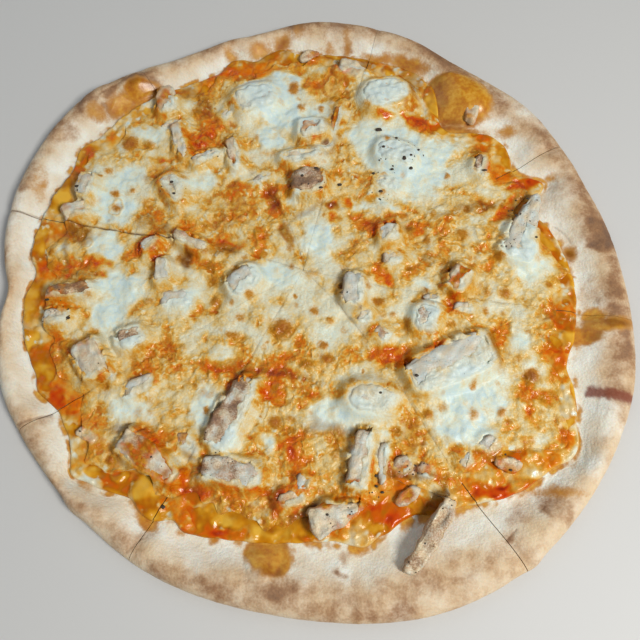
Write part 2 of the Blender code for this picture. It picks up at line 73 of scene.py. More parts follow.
# Relief: height, length of its lumps, and where in the noise it is read
RIM_ROLL = (1.3, 34.0, 3.0)
RIM_RIPPLE = (0.35, 9.0, 8.0)
CHEESE_LUMPS = (0.9, 17.0, 5.0)

RIM_CREST = 0.32
RIM_SLOPE = 1.1
RIM_UNDERCUT = 7.0

# Reach of the rim and of the sauce, each with lobes and dents that are given by their angle,
# their half width in degrees and how far they stand out
RIM_REACH = (
    176, 174, 172, 173, 174, 172, 171, 176, 178, 178, 172, 171, 172, 180, 186, 186, 184, 180, 174,
    175, 178, 176, 174, 174, 175, 175, 175, 177, 181, 185, 187, 187, 186, 185, 184, 180,
)
RIM_DENTS = ((183, 3.5, -3.5), (226, 2.5, 1.5), (306, 2, 1.5))
SAUCE_REACH = (
    149, 142, 143, 152, 156, 155, 155, 153, 153, 160, 160, 163, 163, 162, 155, 160, 155, 146, 142,
    143, 145, 161, 161, 150,
)
SAUCE_LOBES = (
    (18, 4, -4), (24, 3, 10), (30, 3, -4), (51, 8, -26), (98, 4, 6), (108.5, 3, 6), (149, 3, 5),
    (179, 3, -5), (204, 3, 4), (221, 3, 6), (232, 4, -6), (241.5, 2.5, -5), (280, 3, 4),
    (291, 4, -4), (325, 4, 7), (340, 4, -5),
)
# Width of the bare ring of sauce, and the waves of the cheese's edge: far, how many, start
SAUCE_RING = (
    9, 10, 15, 10, 11, 12, 12, 10, 9, 10, 11, 15, 13, 14, 14, 10, 18, 11, 11, 17, 13, 19, 8, 13,
)
CHEESE_WANDER = ((2.2, 17, 0.0), (1.6, 29, 40.0))
CHEESE_EDGE_WIDTH = 9.0
SAUCE_EDGE_WIDTH = 2.5
SAUCE_SWELL = 0.25

CUT_MEETING = (-5.0, 5.0)
# Direction of each cut at the rim, and how much farther it has turned at the meeting point
CUTS = (
    (-9.5, -5), (27.4, 0), (74.3, 3), (127.6, -30), (167.9, -7), (211.5, 0), (241.1, 0), (305, 11),
)
CUT_STRAIGHT_FROM = 140.0
CUT_DIP = 1.2
CUT_DIP_WIDTH = 3.5
REACH_TRIES = 12

# Blown bubbles: x, y, half length, half width, height, turn in degrees
RIM_BUBBLES = (
    (89, 119, 21, 16, 5, -25), (-132, 116, 14, 9, 2.2, 60), (-107, 128, 13, 9, 2.4, 20),
    (-24, -148, 12, 9, 1.8, 80), (160, -30, 12, 9, 1.8, 0),
)
SAUCE_BUBBLES = (
    (-150, 53, 13, 7, 2, 78), (-84, -121, 14, 8, 2.2, 115), (-160, 18, 14, 6, 1.2, 95),
    (-160, -32, 12, 6, 1.2, 105), (112, -116, 16, 6, 1.6, 0), (145, -34, 10, 7, 1.4, 20),
    (-66, -134, 13, 5, 1.2, 155),
)

# %% [markdown]
# ## Curves, cuts and noise on whole arrays
#
# The fine meshes have hundreds of thousands of points, so each function takes whole arrays
# of x and y at once. Blender's own noise is read point by point, which is quick enough and
# is the same noise that shaped the solids.


# %% Helpers on arrays
def smooth_ring(values, angle):
    """Values at angles in degrees, on a smooth closed curve through evenly spaced values."""
    ring = np.array(values, float)
    place = (angle % 360.0) / 360.0 * len(ring)
    low = np.floor(place).astype(int)
    t = place - low
    a, b, c, d = (ring[(low + k) % len(ring)] for k in (-1, 0, 1, 2))
    return b + 0.5 * t * (c - a + t * (2 * a - 5 * b + 4 * c - d + t * (3 * (b - c) + d - a)))


def bell(distance, width):
    return np.exp(-((distance / width) ** 2))


def rise(value, low, high):
    """0 below low, 1 above high, and a smooth step between them."""
    t = np.clip((value - low) / (high - low), 0.0, 1.0)
    return t * t * (3 - 2 * t)


def turn_between(a, b):
    return (a - b + 180.0) % 360.0 - 180.0


def with_lobes(value, lobes, angle):
    return value + sum(amount * bell(turn_between(angle, at), half) for at, half, amount in lobes)


def polar(x, y):
    return np.hypot(x, y), np.degrees(np.arctan2(y, x))


def along_and_across(x, y, at_x, at_y, turn):
    """Points as seen from a place that is turned by an angle in degrees."""
    c, s = math.cos(math.radians(turn)), math.sin(math.radians(turn))
    return (x - at_x) * c + (y - at_y) * s, (y - at_y) * c - (x - at_x) * s


def at_points(read, x, y, length, level):
    """Blender's noise read at every point, with lumps of a length in millimetres."""
    places = zip((x / length).ravel().tolist(), (y / length).ravel().tolist())
    return np.array([read((u, v, level)) for u, v in places]).reshape(x.shape)


def lumps(x, y, length, level):
    """Smooth noise, mostly between -1 and 1."""
    return 1.6 * at_points(noise.noise, x, y, length, level)


def pebbles(x, y, length, level):
    """Rounded lumps side by side: 1 on top of each, 0 in the valleys between them."""
    nearest = at_points(lambda place: noise.voronoi(place)[0][0], x, y, length, level)
    return np.clip(1.0 - 1.35 * nearest ** 1.5, 0.0, 1.0)


def unevenness(x, y, relief):
    height, length, level = relief
    return height * lumps(x, y, length, level)


# %% The rim, the sauce, the cheese and the cuts
def rim_reach(angle):
    return with_lobes(smooth_ring(RIM_REACH, angle), RIM_DENTS, angle)


def sauce_reach(angle):
    return with_lobes(smooth_ring(SAUCE_REACH, angle), SAUCE_LOBES, angle)


def cheese_reach(angle):
    wander = sum(
        far * np.sin(np.radians(waves * angle + start)) for far, waves, start in CHEESE_WANDER)
    return sauce_reach(angle) - smooth_ring(SAUCE_RING, angle) + wander


def along_cut(number, distance):
    """Direction of a cut, in degrees about its meeting point, at distances from that point."""
    end, turned = CUTS[number % len(CUTS)]
    inner = np.maximum(0.0, 1.0 - distance / CUT_STRAIGHT_FROM)
    return end + 360.0 * (number // len(CUTS)) + turned * inner ** 1.5


def slice_points(number, across, distance, gaps=(KNIFE_GAP,) * 8):
    """Points of a slice: across is 0 at its first cut and 1 at its last."""
    first = along_cut(number, distance) + np.degrees(0.5 * gaps[number] / distance)
    last = along_cut(number + 1, distance) - np.degrees(0.5 * gaps[(number + 1) % 8] / distance)
    turn = np.radians(first + (last - first) * across)
    return CUT_MEETING[0] + distance * np.cos(turn), CUT_MEETING[1] + distance * np.sin(turn)


def slice_distances(number, across, reach):
    """How far from the meeting point a closed curve lies, on each line across a slice."""
    distance = np.full(across.shape, CUT_STRAIGHT_FROM)
    for _ in range(REACH_TRIES):
        radius, angle = polar(*slice_points(number, across, distance))
        distance = distance + reach(angle) - radius
    return distance


def cut_distance(x, y, cuts=range(8)):
    """Distance of points from the nearest cut."""
    distance, angle = polar(x - CUT_MEETING[0], y - CUT_MEETING[1])
    turns = [abs(turn_between(angle, along_cut(k, distance))) for k in cuts]
    return np.radians(np.minimum.reduce(turns)) * distance


around = np.arange(0.0, 360.0, 0.25)
outline = [rim_reach(around) * turned(np.radians(around)) for turned in (np.cos, np.sin)]
MIDDLE = tuple((line.min() + line.max()) / 2 for line in outline)
print("the outline's middle is the origin: moved by", [round(-v, 2) for v in MIDDLE], "mm")

# %% [markdown]
# ## Marks laid on one by one
#
# A real pizza's colour isn't even noise: there is a pool of cheese here and a streak of sauce
# there. Each kind of mark is a short list of soft ellipses in millimetres. The points are
# pushed about by noise before they are measured, so that an ellipse's edge wanders like
# something that ran and set.


# %% Soft ellipses and strokes
STROKE_ROOM = 9
BURST_WIDTH = 0.75


def warped(x, y, far=2.2, length=9.0, level=11.0):
    """Points pushed about by two sizes of noise, the second the finer and the fainter."""
    fine = 0.4 * length
    return (
        x + far * lumps(x, y, length, level) + 0.4 * far * lumps(x, y, fine, level + 3),
        y + far * lumps(x, y, length, level + 7) + 0.4 * far * lumps(x, y, fine, level + 9),
    )


def spots(x, y, marks, edge):
    """Strength at each point of ellipses: x, y, half length, half width, turn, strength."""
    found = np.zeros_like(x)
    for at_x, at_y, half_length, half_width, turn, strength in marks:
        room = max(half_length, half_width) + 2 * edge
        near = (abs(x - at_x) < room) & (abs(y - at_y) < room)
        if near.any():
            along, across = along_and_across(x[near], y[near], at_x, at_y, turn)
            share = np.hypot(along / half_length, across / half_width)
            inside = (1.0 - share) * min(half_length, half_width)
            found[near] = np.maximum(found[near], strength * rise(inside, -edge, edge))
    return found


def strokes(x, y, paths, edge):
    """Strength at each point of strokes: half width, strength, and the points passed."""
    found = np.zeros_like(x)
    for half_width, strength, path in paths:
        for (ax, ay), (bx, by) in zip(path, path[1:]):
            near = (x > min(ax, bx) - STROKE_ROOM) & (x < max(ax, bx) + STROKE_ROOM)
            near &= (y > min(ay, by) - STROKE_ROOM) & (y < max(ay, by) + STROKE_ROOM)
            if near.any():
                px, py, dx, dy = x[near] - ax, y[near] - ay, bx - ax, by - ay
                along = np.clip((px * dx + py * dy) / (dx ** 2 + dy ** 2), 0, 1)
                inside = half_width - np.hypot(px - along * dx, py - along * dy)
                found[near] = np.maximum(found[near], strength * rise(inside, -edge, edge))
    return found


def ring_marks(x, y):
    """Bubbles that burst and left a ring: x, y, radius."""
    found = np.zeros_like(x)
    for at_x, at_y, radius in RINGS:
        found = np.maximum(found, bell(np.hypot(x - at_x, y - at_y) - radius, BURST_WIDTH))
    return found


# %% Pools of milky cheese
MILK = (
    (-24, 127, 20, 15, 20, 1), (-16, 108, 23, 12, -25, 1), (-27, 92, 11, 9, 0, 1),
    (2, 111, 10, 6, 0, 0.9), (50, 79, 25, 17, -35, 1), (34, 94, 13, 8, 10, 0.9),
    (66, 66, 14, 9, 20, 1), (77, 84, 14, 10, 75, 1), (60, 53, 13, 6, 0, 0.8),
    (3, 25, 9, 12, -25, 1), (8, 16, 7, 5, 0, 0.8), (-22, 2, 14, 7, -10, 0.9),
    (-100, 94, 15, 6, -8, 0.9), (-112, 62, 14, 8, 30, 1), (-115, 45, 13, 10, 15, 1),
    (-119, 20, 11, 10, 0, 0.9), (-108, -5, 13, 11, -20, 1), (-113, -22, 11, 9, 20, 1),
    (-103, -34, 7, 9, 20, 0.9), (-125, 85, 6, 4, 40, 0.8), (-131, 72, 4, 6, 0, 0.8),
    (-98, -75, 10, 8, 0, 0.8), (-56, -72, 8, 11, -15, 1), (-45, -91, 9, 7, 40, 0.9),
    (15, -77, 17, 9, 0, 0.9), (84, -66, 18, 12, 15, 1), (82, -84, 15, 11, 0, 1),
    (98, -72, 8, 7, 0, 0.8), (115, -35, 7, 6, 0, 0.8), (118, -47, 6, 4, 30, 0.7),
    (122, 10, 12, 13, 0, 0.9), (115, 26, 9, 15, 0, 0.8), (-10, 50, 5, 2, 0, 0.9),
    (-3, 37, 4, 3, 0, 0.8), (42, 45, 7, 4, -20, 0.9), (28, 47, 5, 3, 0, 0.8),
    (-22, -92, 6, 4, 40, 0.9), (-79, 118, 5, 4, 0, 0.8), (36, -92, 6, 8, 0, 0.9),
    (61, -22, 9, 8, 20, 0.9), (64, -3, 7, 4, 0, 0.7), (-41, 66, 9, 5, 0, 0.7),
    (-47, -44, 8, 6, 10, 0.7), (-65, 61, 10, 7, 0, 0.8), (-146, 24, 4, 8, 0, 0.8),
    (-147, -2, 3, 6, 0, 0.8), (24, 140, 9, 7, -30, 0.9), (44, 120, 14, 10, 10, 1),
    (-90, 117, 8, 7, 0, 0.8), (12, -35, 9, 6, 0, 0.5), (47, -35, 6, 4, 0, 0.5),
    (-70, -12, 9, 8, 0, 0.6), (95, 35, 8, 5, 0, 0.5), (103, 57, 10, 6, 20, 0.6),
)
print(len(MILK), "pools of cheese")

# %% Streaks of red sauce, and oil that has turned amber
RED = (
    (62, 102, 10, 4, -30, 1), (43, 105, 5, 2, 0, 0.9), (104, 96, 5, 3, -60, 0.6),
    (124, 60, 10, 3.5, 20, 1), (138, 63, 5, 1.5, 15, 0.8), (112, 43, 11, 3, 50, 1),
    (158, -36, 4, 3, 0, 0.8), (133, -51, 9, 3, 45, 0.4), (125, -68, 6, 4, 0, 0.6),
    (95, -117, 11, 4, -8, 1), (115, -114, 6, 2.5, 0, 1), (115, -78, 3, 6, 0, 0.7),
    (112, -90, 4, 3, 0, 0.6), (100, -38, 6, 3, 0, 0.7), (12, 46, 4, 4, 0, 0.9),
    (13, 38, 3.5, 3, 0, 0.9), (33, 32, 4.5, 3, -30, 1), (20, 48, 2.5, 2.5, 0, 0.9),
    (26, 40, 5, 2.5, -20, 0.7), (42, -45, 9, 6, -10, 0.9), (40, 1, 8, 5, -50, 0.8),
    (-22, -54, 14, 3.5, -8, 1), (-48, -51, 11, 3, 5, 0.8), (-22, 45, 4, 5, 0, 0.9),
    (-25, 52, 4, 5, 0, 0.8), (-54, 149, 5, 4, 0, 0.9), (-40, 147, 4, 2, 0, 0.4),
    (-66, 90, 5, 9, -20, 1), (-60, 97, 6, 3, 40, 0.9), (-140, 70, 4, 5, 0, 1),
    (-134, 80, 8, 3, 55, 0.8), (-153, 8, 2.5, 5, 0, 0.5), (-137, 8, 5, 6, 0, 0.8),
    (-120, 10, 6, 4, 0, 0.8), (-118, 1, 3, 2, 0, 0.7), (-97, 22, 7, 2.5, 50, 1),
    (-137, -68, 3.5, 7, 10, 1), (-129, -76, 5, 2, -30, 0.6), (-146, -58, 3, 3, 0, 0.5),
    (-78, -99, 7, 4, -40, 0.9), (-72, -110, 4, 6, 20, 0.9), (-66, -137, 9, 3, -20, 1),
    (-15, -121, 3, 7, -15, 0.9), (-19, -124, 3, 6, -10, 0.8), (42, -128, 15, 5, -8, 1.2),
    (-12, -97, 9, 3, -60, 0.9), (-58, -117, 7, 4, 0, 0.9), (-50, -137, 13, 2.5, -5, 0.9),
    (0, -138, 10, 2, 5, 0.6), (-29, -116, 5, 2.5, -20, 0.7), (-22, -65, 5, 5, 0, 0.8),
    (-2, -68, 7, 4, 20, 0.6), (-90, 76, 8, 2.5, 5, 0.7), (-47, 20, 8, 4, 0, 0.8),
    (-50, 53, 5, 4, 0, 0.2), (60, 30, 5, 5, 0, 0.6), (87, -4, 4, 6, 20, 0.5),
    (138, -28, 8, 3, 0, 0.7), (-75, 32, 7, 4, 20, 0.5), (-66, -112, 4, 6, 0, 0.8),
    (65, -42, 8, 3, 25, 0.8), (0, 130, 6, 9, 0, 0.5),
)
OIL = (
    (88, 118, 19, 16, -25, 1), (61, 119, 5, 9, 0, 0.8), (117, 100, 4, 3, 0, 0.8),
    (98, 83, 5, 3.5, 0, 0.8), (160, -27, 13, 4, 0, 1), (145, -35, 7, 5, 0, 0.8),
    (122, -117, 14, 4, 0, 0.9), (-42, 43, 8, 7, 0, 0.8), (-15, 28, 4, 6, 10, 0.9),
    (12, 126, 12, 6, -20, 0.8), (-48, 101, 2.5, 4, 0, 0.8), (-55, 85, 2.5, 3, 0, 0.6),
    (-27, 80, 8, 2, 15, 0.7), (-92, 69, 5, 4, 0, 0.8), (-150, 56, 7, 14, 0, 1),
    (-158, 24, 6, 12, 5, 1), (-157, -12, 5, 12, 0, 1), (-156, -36, 6, 6, 40, 1),
    (-136, 27, 9, 6, 0, 0.7), (-133, -40, 5, 5, 0, 0.9), (-84, -120, 13, 6, 115, 1),
    (-104, -96, 10, 4, -38, 0.7), (-40, -127, 15, 8, 0, 0.9), (35, -134, 7, 3, 0, 0.9),
    (33, 85, 5, 1.5, 0, 0.6), (10, -87, 13, 4, -12, 0.8), (53, -89, 6, 9, 0, 0.8),
    (50, 38, 7, 2.5, 0, 0.7), (25, 20, 4, 6, 0, 0.6), (-53, 35, 7, 5, 0, 0.7),
    (-15, 148, 12, 4, 30, 0.8), (-20, -136, 11, 7, 0, 1), (148, -8, 4, 9, 0, 0.7),
    (146, 10, 3, 5, 0, 0.6), (-45, 52, 7, 9, 0, 0.8), (-148, -46, 6, 5, 0, 0.8),
    (-97, 47, 2.5, 4, 0, 0.7), (2, -137, 6, 3, 0, 0.8),
)
OIL_STROKES = (
    (2.5, 0.8, ((132, 35), (133, 25), (138, 18), (145, 8))),
    (2.5, 0.9, ((-30, 152), (-20, 160))),
    (3, 0.8, ((10, 153), (25, 152), (35, 150), (50, 148), (65, 143))),
)
# Caramel brown and shade: folds, pockets and the feet of pieces
BROWN_AND_SHADE_MARKS = (
    (51, -108, 13, 4, -5, 0.8), (-72, 10, 4, 6, 0, 1), (118, 46, 15, 2, 50, 0.6),
    (62, -124, 12, 3, 58, 0.9), (12, 46, 4, 3, 0, 0.9), (-23, 50, 3, 9, 25, 0.6),
    (-15, 28, 4, 6, 0, 0.5), (-50, 17, 9, 3, 10, 0.6), (57, 31, 3, 4, 0, 0.5),
    (15, -6, 3, 7, 0, 0.6), (-15, -56, 20, 2, -8, 0.6), (-35, -52, 12, 3, -5, 0.4),
    (-19, -121, 3, 8, -15, 0.7), (-5, -129, 7, 3, 20, 0.6), (13, 108, 3, 8, 0, 0.6),
    (4, 98, 10, 2, 5, 0.4), (34, 145, 5, 6, 0, 0.6), (62, 134, 7, 13, 0, 0.5),
    (0, 82, 2, 5, 0, 0.6), (12, 84, 2, 8, -30, 0.5), (-136, 27, 9, 6, 0, 0.5),
    (-141, 17, 1.5, 12, 0, 0.6), (-86, 30, 5, 3, 0, 0.6), (-100, -85, 7, 3, 0, 0.6),
    (8, -84, 14, 3, -10, 0.45), (-64, -96, 2, 8, 30, 0.6), (96, 45, 14, 2.5, 12, 0.6),
    (78, 40, 8, 2, 10, 0.5), (76, 5, 2, 6, 0, 0.5), (63, -12, 3, 5, 0, 0.6),
    (98, -42, 3, 10, 12, 0.6), (118, -57, 5, 3, 0, 0.5), (142, -24, 14, 1.8, -5, 0.6),
    (-96, 36, 6, 5, 0, 0.4), (30, -33, 3, 8, 0, 0.3), (-67, 113, 5, 7, 30, 0.5),
    (-80, 124, 9, 4, 0, 0.5), (-15, 157, 6, 3, 30, 0.5), (-35, 150, 9, 3, 15, 0.5),
    (16, 150, 10, 3, 0, 0.5), (-147, 62, 5, 4, 30, 0.5), (-130, 2, 10, 2, 5, 0.5),
    (-60, -110, 3, 8, 0, 0.5), (-3, 42, 12, 1.5, 30, 0.5), (-109, 130, 6, 7, 20, 0.8),
    (67, 14, 3, 5, 0, 0.4), (-97, 64, 5, 3, 0, 0.4),
)
print(len(RED), "streaks of sauce and", len(OIL) + len(OIL_STROKES), "pools of oil")

# %% Browned blisters on the cheese: x, y, half length, half width, darkness
BLISTERS = (
    (-110, 87, 4, 4.5, 1), (-98, 86, 3, 3, 0.5), (-12, 127, 3, 4, 0.9), (-7, 113, 2.5, 2.5, 0.6),
    (-34, 91, 2.5, 2.5, 0.4), (5, 112, 2.5, 2.5, 0.6), (44, 88, 2, 3, 0.6), (80, 65, 2, 1.5, 0.6),
    (-116, 53, 2.3, 2, 0.8), (-106, 55, 2, 2, 0.6), (-114, 44, 2.5, 2.5, 0.7), (-97, 45, 2, 2, 0.5),
    (-111, 28, 1.5, 1.5, 0.6), (-149, 16, 2, 2.5, 0.8), (-148, 8, 2.5, 3, 0.6),
    (-145, 24, 2, 2, 0.6), (-72, 110, 3, 3, 0.6), (-66, 118, 3, 3, 0.6), (-17, -30, 5.5, 4.5, 1),
    (-56, -1, 3, 3, 0.7), (-54, -14, 2.3, 3, 0.8), (8, -47, 3.5, 2.5, 1), (10, -25, 1.5, 1.5, 0.6),
    (6, -39, 2, 2, 0.8), (37, -14, 3, 2.3, 0.9), (52, -27, 1.7, 2.6, 0.8), (57, 31, 2, 2, 0.8),
    (55, 5, 2.3, 1.7, 0.8), (105, 12, 2.8, 2.3, 0.8), (133, -4, 2, 2, 0.7), (86, 27, 3.5, 3, 0.7),
    (108, -9, 3, 3, 0.8), (98, -8, 2.4, 2.4, 0.6), (117, 25, 2, 2, 0.3), (139, 27, 2, 2, 0.6),
    (118, -56, 4, 3, 1), (100, -76, 2, 2, 0.7), (85, -77, 3, 3, 0.5), (61, -77, 2.3, 2.3, 0.8),
    (86, -62, 2, 2, 0.6), (131, -97, 3, 1.7, 1), (136, -104, 2, 2, 1), (135, -77, 2, 2, 0.6),
    (-104, -101, 2, 2, 1.2), (-86, -103, 2.2, 2.6, 1.4), (-112, -124, 2.8, 1.8, 1.2),
    (-98, -119, 2.5, 2, 0.7), (-19, -81, 3.2, 3, 1), (-52, -104, 2.5, 2.3, 0.8),
    (-56, -75, 1.8, 1.8, 0.7), (-9, -137, 2.6, 3.4, 1.2), (25, -140, 3, 4, 0.7),
    (45, -22, 1.6, 1.8, 0.6), (0, 3, 4, 2.5, 0.35), (-43, -34, 4, 2, 0.7), (-3, -50, 4, 2.5, 0.8),
    (20, 12, 3, 1.6, 0.5), (66, 24, 2, 2.5, 0.7), (75, 10, 2, 2, 0.5), (-58, 7, 2, 2.4, 0.6),
    (-48, 17, 3, 2, 0.7), (-75, 12, 3, 3, 0.6), (-32, 28, 2, 2, 0.5), (14, 119, 3, 3, 0.6),
    (-60, 135, 3, 2.4, 0.6), (70, 40, 2, 2, 0.5), (-63, 33, 2.4, 2, 0.5), (22, -60, 3, 1.6, 0.5),
    (90, 12, 1.8, 1.8, 0.5), (12, -98, 3, 2, 0.5),
)
# Burst bubbles: x, y, radius
RINGS = (
    (-161, -23, 3.4), (-157, -32, 2.4), (45, 12, 3), (108, -9, 3.6), (97, -4, 2.6), (103, 2, 2.2),
    (25, -140, 3.4), (-19, -81, 4.6), (-148, 20, 2.6), (97, 28, 3.2), (36, -30, 3.6),
    (-142, 14, 2.8), (-114, 44, 3.6), (-84, -6, 3), (-130, 22, 3.4), (122, -36, 3), (-62, 116, 3),
    (12, -104, 2.8), (-100, -108, 3.2), (76, -30, 2.8), (-40, -44, 3), (128, -12, 2.4),
    (-36, 28, 3.2), (20, 120, 3.4),
)
print(len(BLISTERS), "blisters and", len(RINGS), "burst bubbles")

# %% Pale and amber stretches: x, y, half length, half width, turn, how far the sauce shows
STRETCHES = (
    (0, -15, 38, 20, -10, 0.12), (-58, -20, 20, 18, 0, 0.32), (-120, 65, 22, 26, 10, 0.26),
    (-110, -15, 16, 24, 0, 0.28), (62, 80, 34, 24, -20, 0.22), (-15, 110, 30, 24, 0, 0.28),
    (112, 5, 20, 28, 0, 0.32), (84, -68, 28, 24, 10, 0.3), (115, -45, 12, 16, 0, 0.4),
    (15, -72, 26, 16, 0, 0.32), (-48, -80, 14, 18, 0, 0.35), (-95, -72, 18, 12, 0, 0.42),
    (2, 25, 14, 16, 0, 0.25), (-60, 70, 22, 10, 10, 0.42), (5, 62, 22, 12, 0, 0.42),
    (44, 118, 18, 14, 0, 0.28), (70, 10, 25, 15, 0, 0.45), (130, -88, 16, 20, 0, 0.4),
    (-85, 118, 14, 10, 0, 0.38), (-45, 40, 22, 20, 0, 0.53), (-90, 40, 20, 12, 0, 0.52),
    (-120, 12, 22, 10, 0, 0.6), (35, 35, 28, 12, 0, 0.56), (80, 35, 20, 10, 20, 0.55),
    (42, -40, 16, 12, -20, 0.64), (-35, -52, 40, 7, -5, 0.7), (-80, -50, 20, 10, 0, 0.55),
    (-15, -90, 14, 26, 0, 0.6), (-138, -66, 12, 12, 0, 0.55), (-100, -98, 20, 10, -38, 0.6),
    (-40, -125, 30, 12, 0, 0.6), (25, -112, 16, 12, 0, 0.5), (-62, 95, 14, 14, 0, 0.65),
    (-115, 100, 24, 8, 10, 0.5), (-50, 140, 40, 12, 10, 0.62), (15, 130, 20, 16, 0, 0.58),
    (75, 100, 30, 8, -25, 0.6), (105, 85, 14, 16, 0, 0.5), (100, 50, 26, 8, 30, 0.58),
    (138, -38, 12, 18, 0, 0.6), (146, -4, 8, 14, 0, 0.42), (-114, -112, 14, 14, 0, 0.26),
    (110, -85, 16, 12, 0, 0.52), (55, -108, 26, 12, 0, 0.52), (-5, -50, 24, 10, 0, 0.55),
    (-150, 0, 10, 30, 0, 0.55),
)
# How much a place keeps of the usual level, and how soon a stretch fades
USUAL_WEIGHT = 0.2
BLUR = 1.3


def stretch_level(x, y, usual=0.48):
    """How far the sauce shows through, blended from all the stretches."""
    level, weight = np.full_like(x, USUAL_WEIGHT * usual), np.full_like(x, USUAL_WEIGHT)
    for at_x, at_y, half_length, half_width, turn, amount in STRETCHES:
        along, across = along_and_across(x, y, at_x, at_y, turn)
        near = np.exp(-BLUR * ((along / half_length) ** 2 + (across / half_width) ** 2))
        level += near * amount
        weight += near
    return level / weight


# %% [markdown]
# ## Meshes from rows of points
#
# Dough, sauce and cheese are all wedges, so one grid serves them: rows that follow the rim,
# and columns that fan out from the point where the cuts meet. Towards that point the columns
# crowd together, so every second one is left out twice on the way in. A skirt and a floor
# close the surface into a body, as on the solids.


# %% A closed wedge from rows
STICKS_OUT = 0.01
TOUCHES = 1e-6


def slice_span(number):
    """How wide a slice opens, in radians."""
    first, last = (along_cut(side, CUT_STRAIGHT_FROM) for side in (number, number + 1))
    return math.radians(last - first)


def joined(rows):
    """The rows' arrays of each kind as one long array, and how many points each row has."""
    return [np.concatenate(part) for part in zip(*rows)], [len(row[0]) for row in rows]


def stitch(upper, lower):
    """Faces between two rows of points, where the lower may have half the steps."""
    if len(upper) == len(lower):
        return [(upper[j], upper[j + 1], lower[j + 1], lower[j]) for j in range(len(lower) - 1)]
    faces = []
    for j in range(len(lower) - 1):
        a, b, c = upper[2 * j:2 * j + 3]
        faces += [(a, b, lower[j]), (b, lower[j + 1], lower[j]), (b, c, lower[j + 1])]
    return faces


def closed_wedge(x, y, z, counts, floor):
    """Corners and faces of rows of points, with a skirt down to a floor.

    Where a rounded rim reaches out over its first row, the skirt runs back to that row's end.
    """
    starts = np.cumsum([0, *counts])
    index = [list(range(a, b)) for a, b in zip(starts, starts[1:])]
    corners = np.column_stack([x, y, z])
    faces = []
    for upper, lower in zip(index, index[1:]):
        faces += stitch(upper, lower)
    edge = index[0][::-1] + [row[0] for row in index[1:]] + index[-1][1:]
    edge += [row[-1] for row in index[-2:0:-1]]
    foot = {row[end]: index[0][end] for row in index for end in (0, -1)}
    reach = np.hypot(x, y)
    below, extra = {}, []
    for at in edge:
        if reach[at] > reach[foot.get(at, at)] + STICKS_OUT:
            below[at] = below[foot[at]]
        elif z[at] <= floor + TOUCHES:
            below[at] = at
        else:
            below[at] = len(corners) + len(extra)
            extra.append((x[at], y[at], floor))
    corners = np.concatenate([corners, np.array(extra)])
    for a, b in zip(edge, edge[1:] + edge[:1]):
        wall = tuple(dict.fromkeys((a, b, below[b], below[a])))
        if len(wall) > 2:
            faces.append(wall)
    faces.append(tuple(dict.fromkeys(below[at] for at in reversed(edge))))
    return corners, faces


def linked(name, data):
    """A new object in the scene."""
    made = bpy.data.objects.new(name, data)
    bpy.context.scene.collection.objects.link(made)
    return made


def write_values(mesh, key, value):
    """An attribute with a value for each corner, and 0 for the corners that follow."""
    held = np.zeros(len(mesh.vertices), np.float32)
    held[:len(value)] = value
    mesh.attributes.new(key, "FLOAT", "POINT").data.foreach_set("value", held)


def mesh_piece(name, corners, faces, finish, values=None, sharp=60.0):
    """An object from corners in millimetres, moved to the solids' frame, with its attributes."""
    mesh = bpy.data.meshes.new(name)
    mesh.from_pydata((np.array(corners) - (*MIDDLE, 0.0)) * MM, [], faces)
    for key, value in (values or {}).items():
        write_values(mesh, key, value)
    shape = bmesh.new()
    shape.from_mesh(mesh)
    bmesh.ops.recalc_face_normals(shape, faces=shape.faces)
    shape.to_mesh(mesh)
    shape.free()
    mesh.shade_smooth()
    mesh.set_sharp_from_angle(angle=math.radians(sharp))
    mesh.materials.append(finish)
    return linked(name, mesh)


def report(what, pieces):
    pieces = list(pieces)
    print(what, len(pieces), "pieces,", sum(len(p.data.polygons) for p in pieces), "faces")


def keep(piece, slot, *nodes):
    """Attaches a finished piece to the root and hides the solids that it stands for. The slot is
    not used.
    """
    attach(piece, "root")
    if nodes:
        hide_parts(*nodes)
    return piece


# %% [markdown]
# ## Colours and shader helpers
#
# Colours are written as they look on a screen, from 0 to 255, and turned into the linear
# values that a shader works with. A small class holds a node tree and has a short word for
# each kind of step: it adds the node and joins or sets its inputs. So each material reads as a
# short recipe, in which t is the material's own tree.


# %% Shader helpers
FLOAT, COLOUR = "NodeSocketFloat", "NodeSocketColor"


def screen(red, green, blue):
    """A colour as a screen shows it, made linear, with full alpha."""
    shares = [v / 255.0 for v in (red, green, blue)]
    return (*[v / 12.92 if v <= 0.04045 else ((v + 0.055) / 1.055) ** 2.4 for v in shares], 1.0)


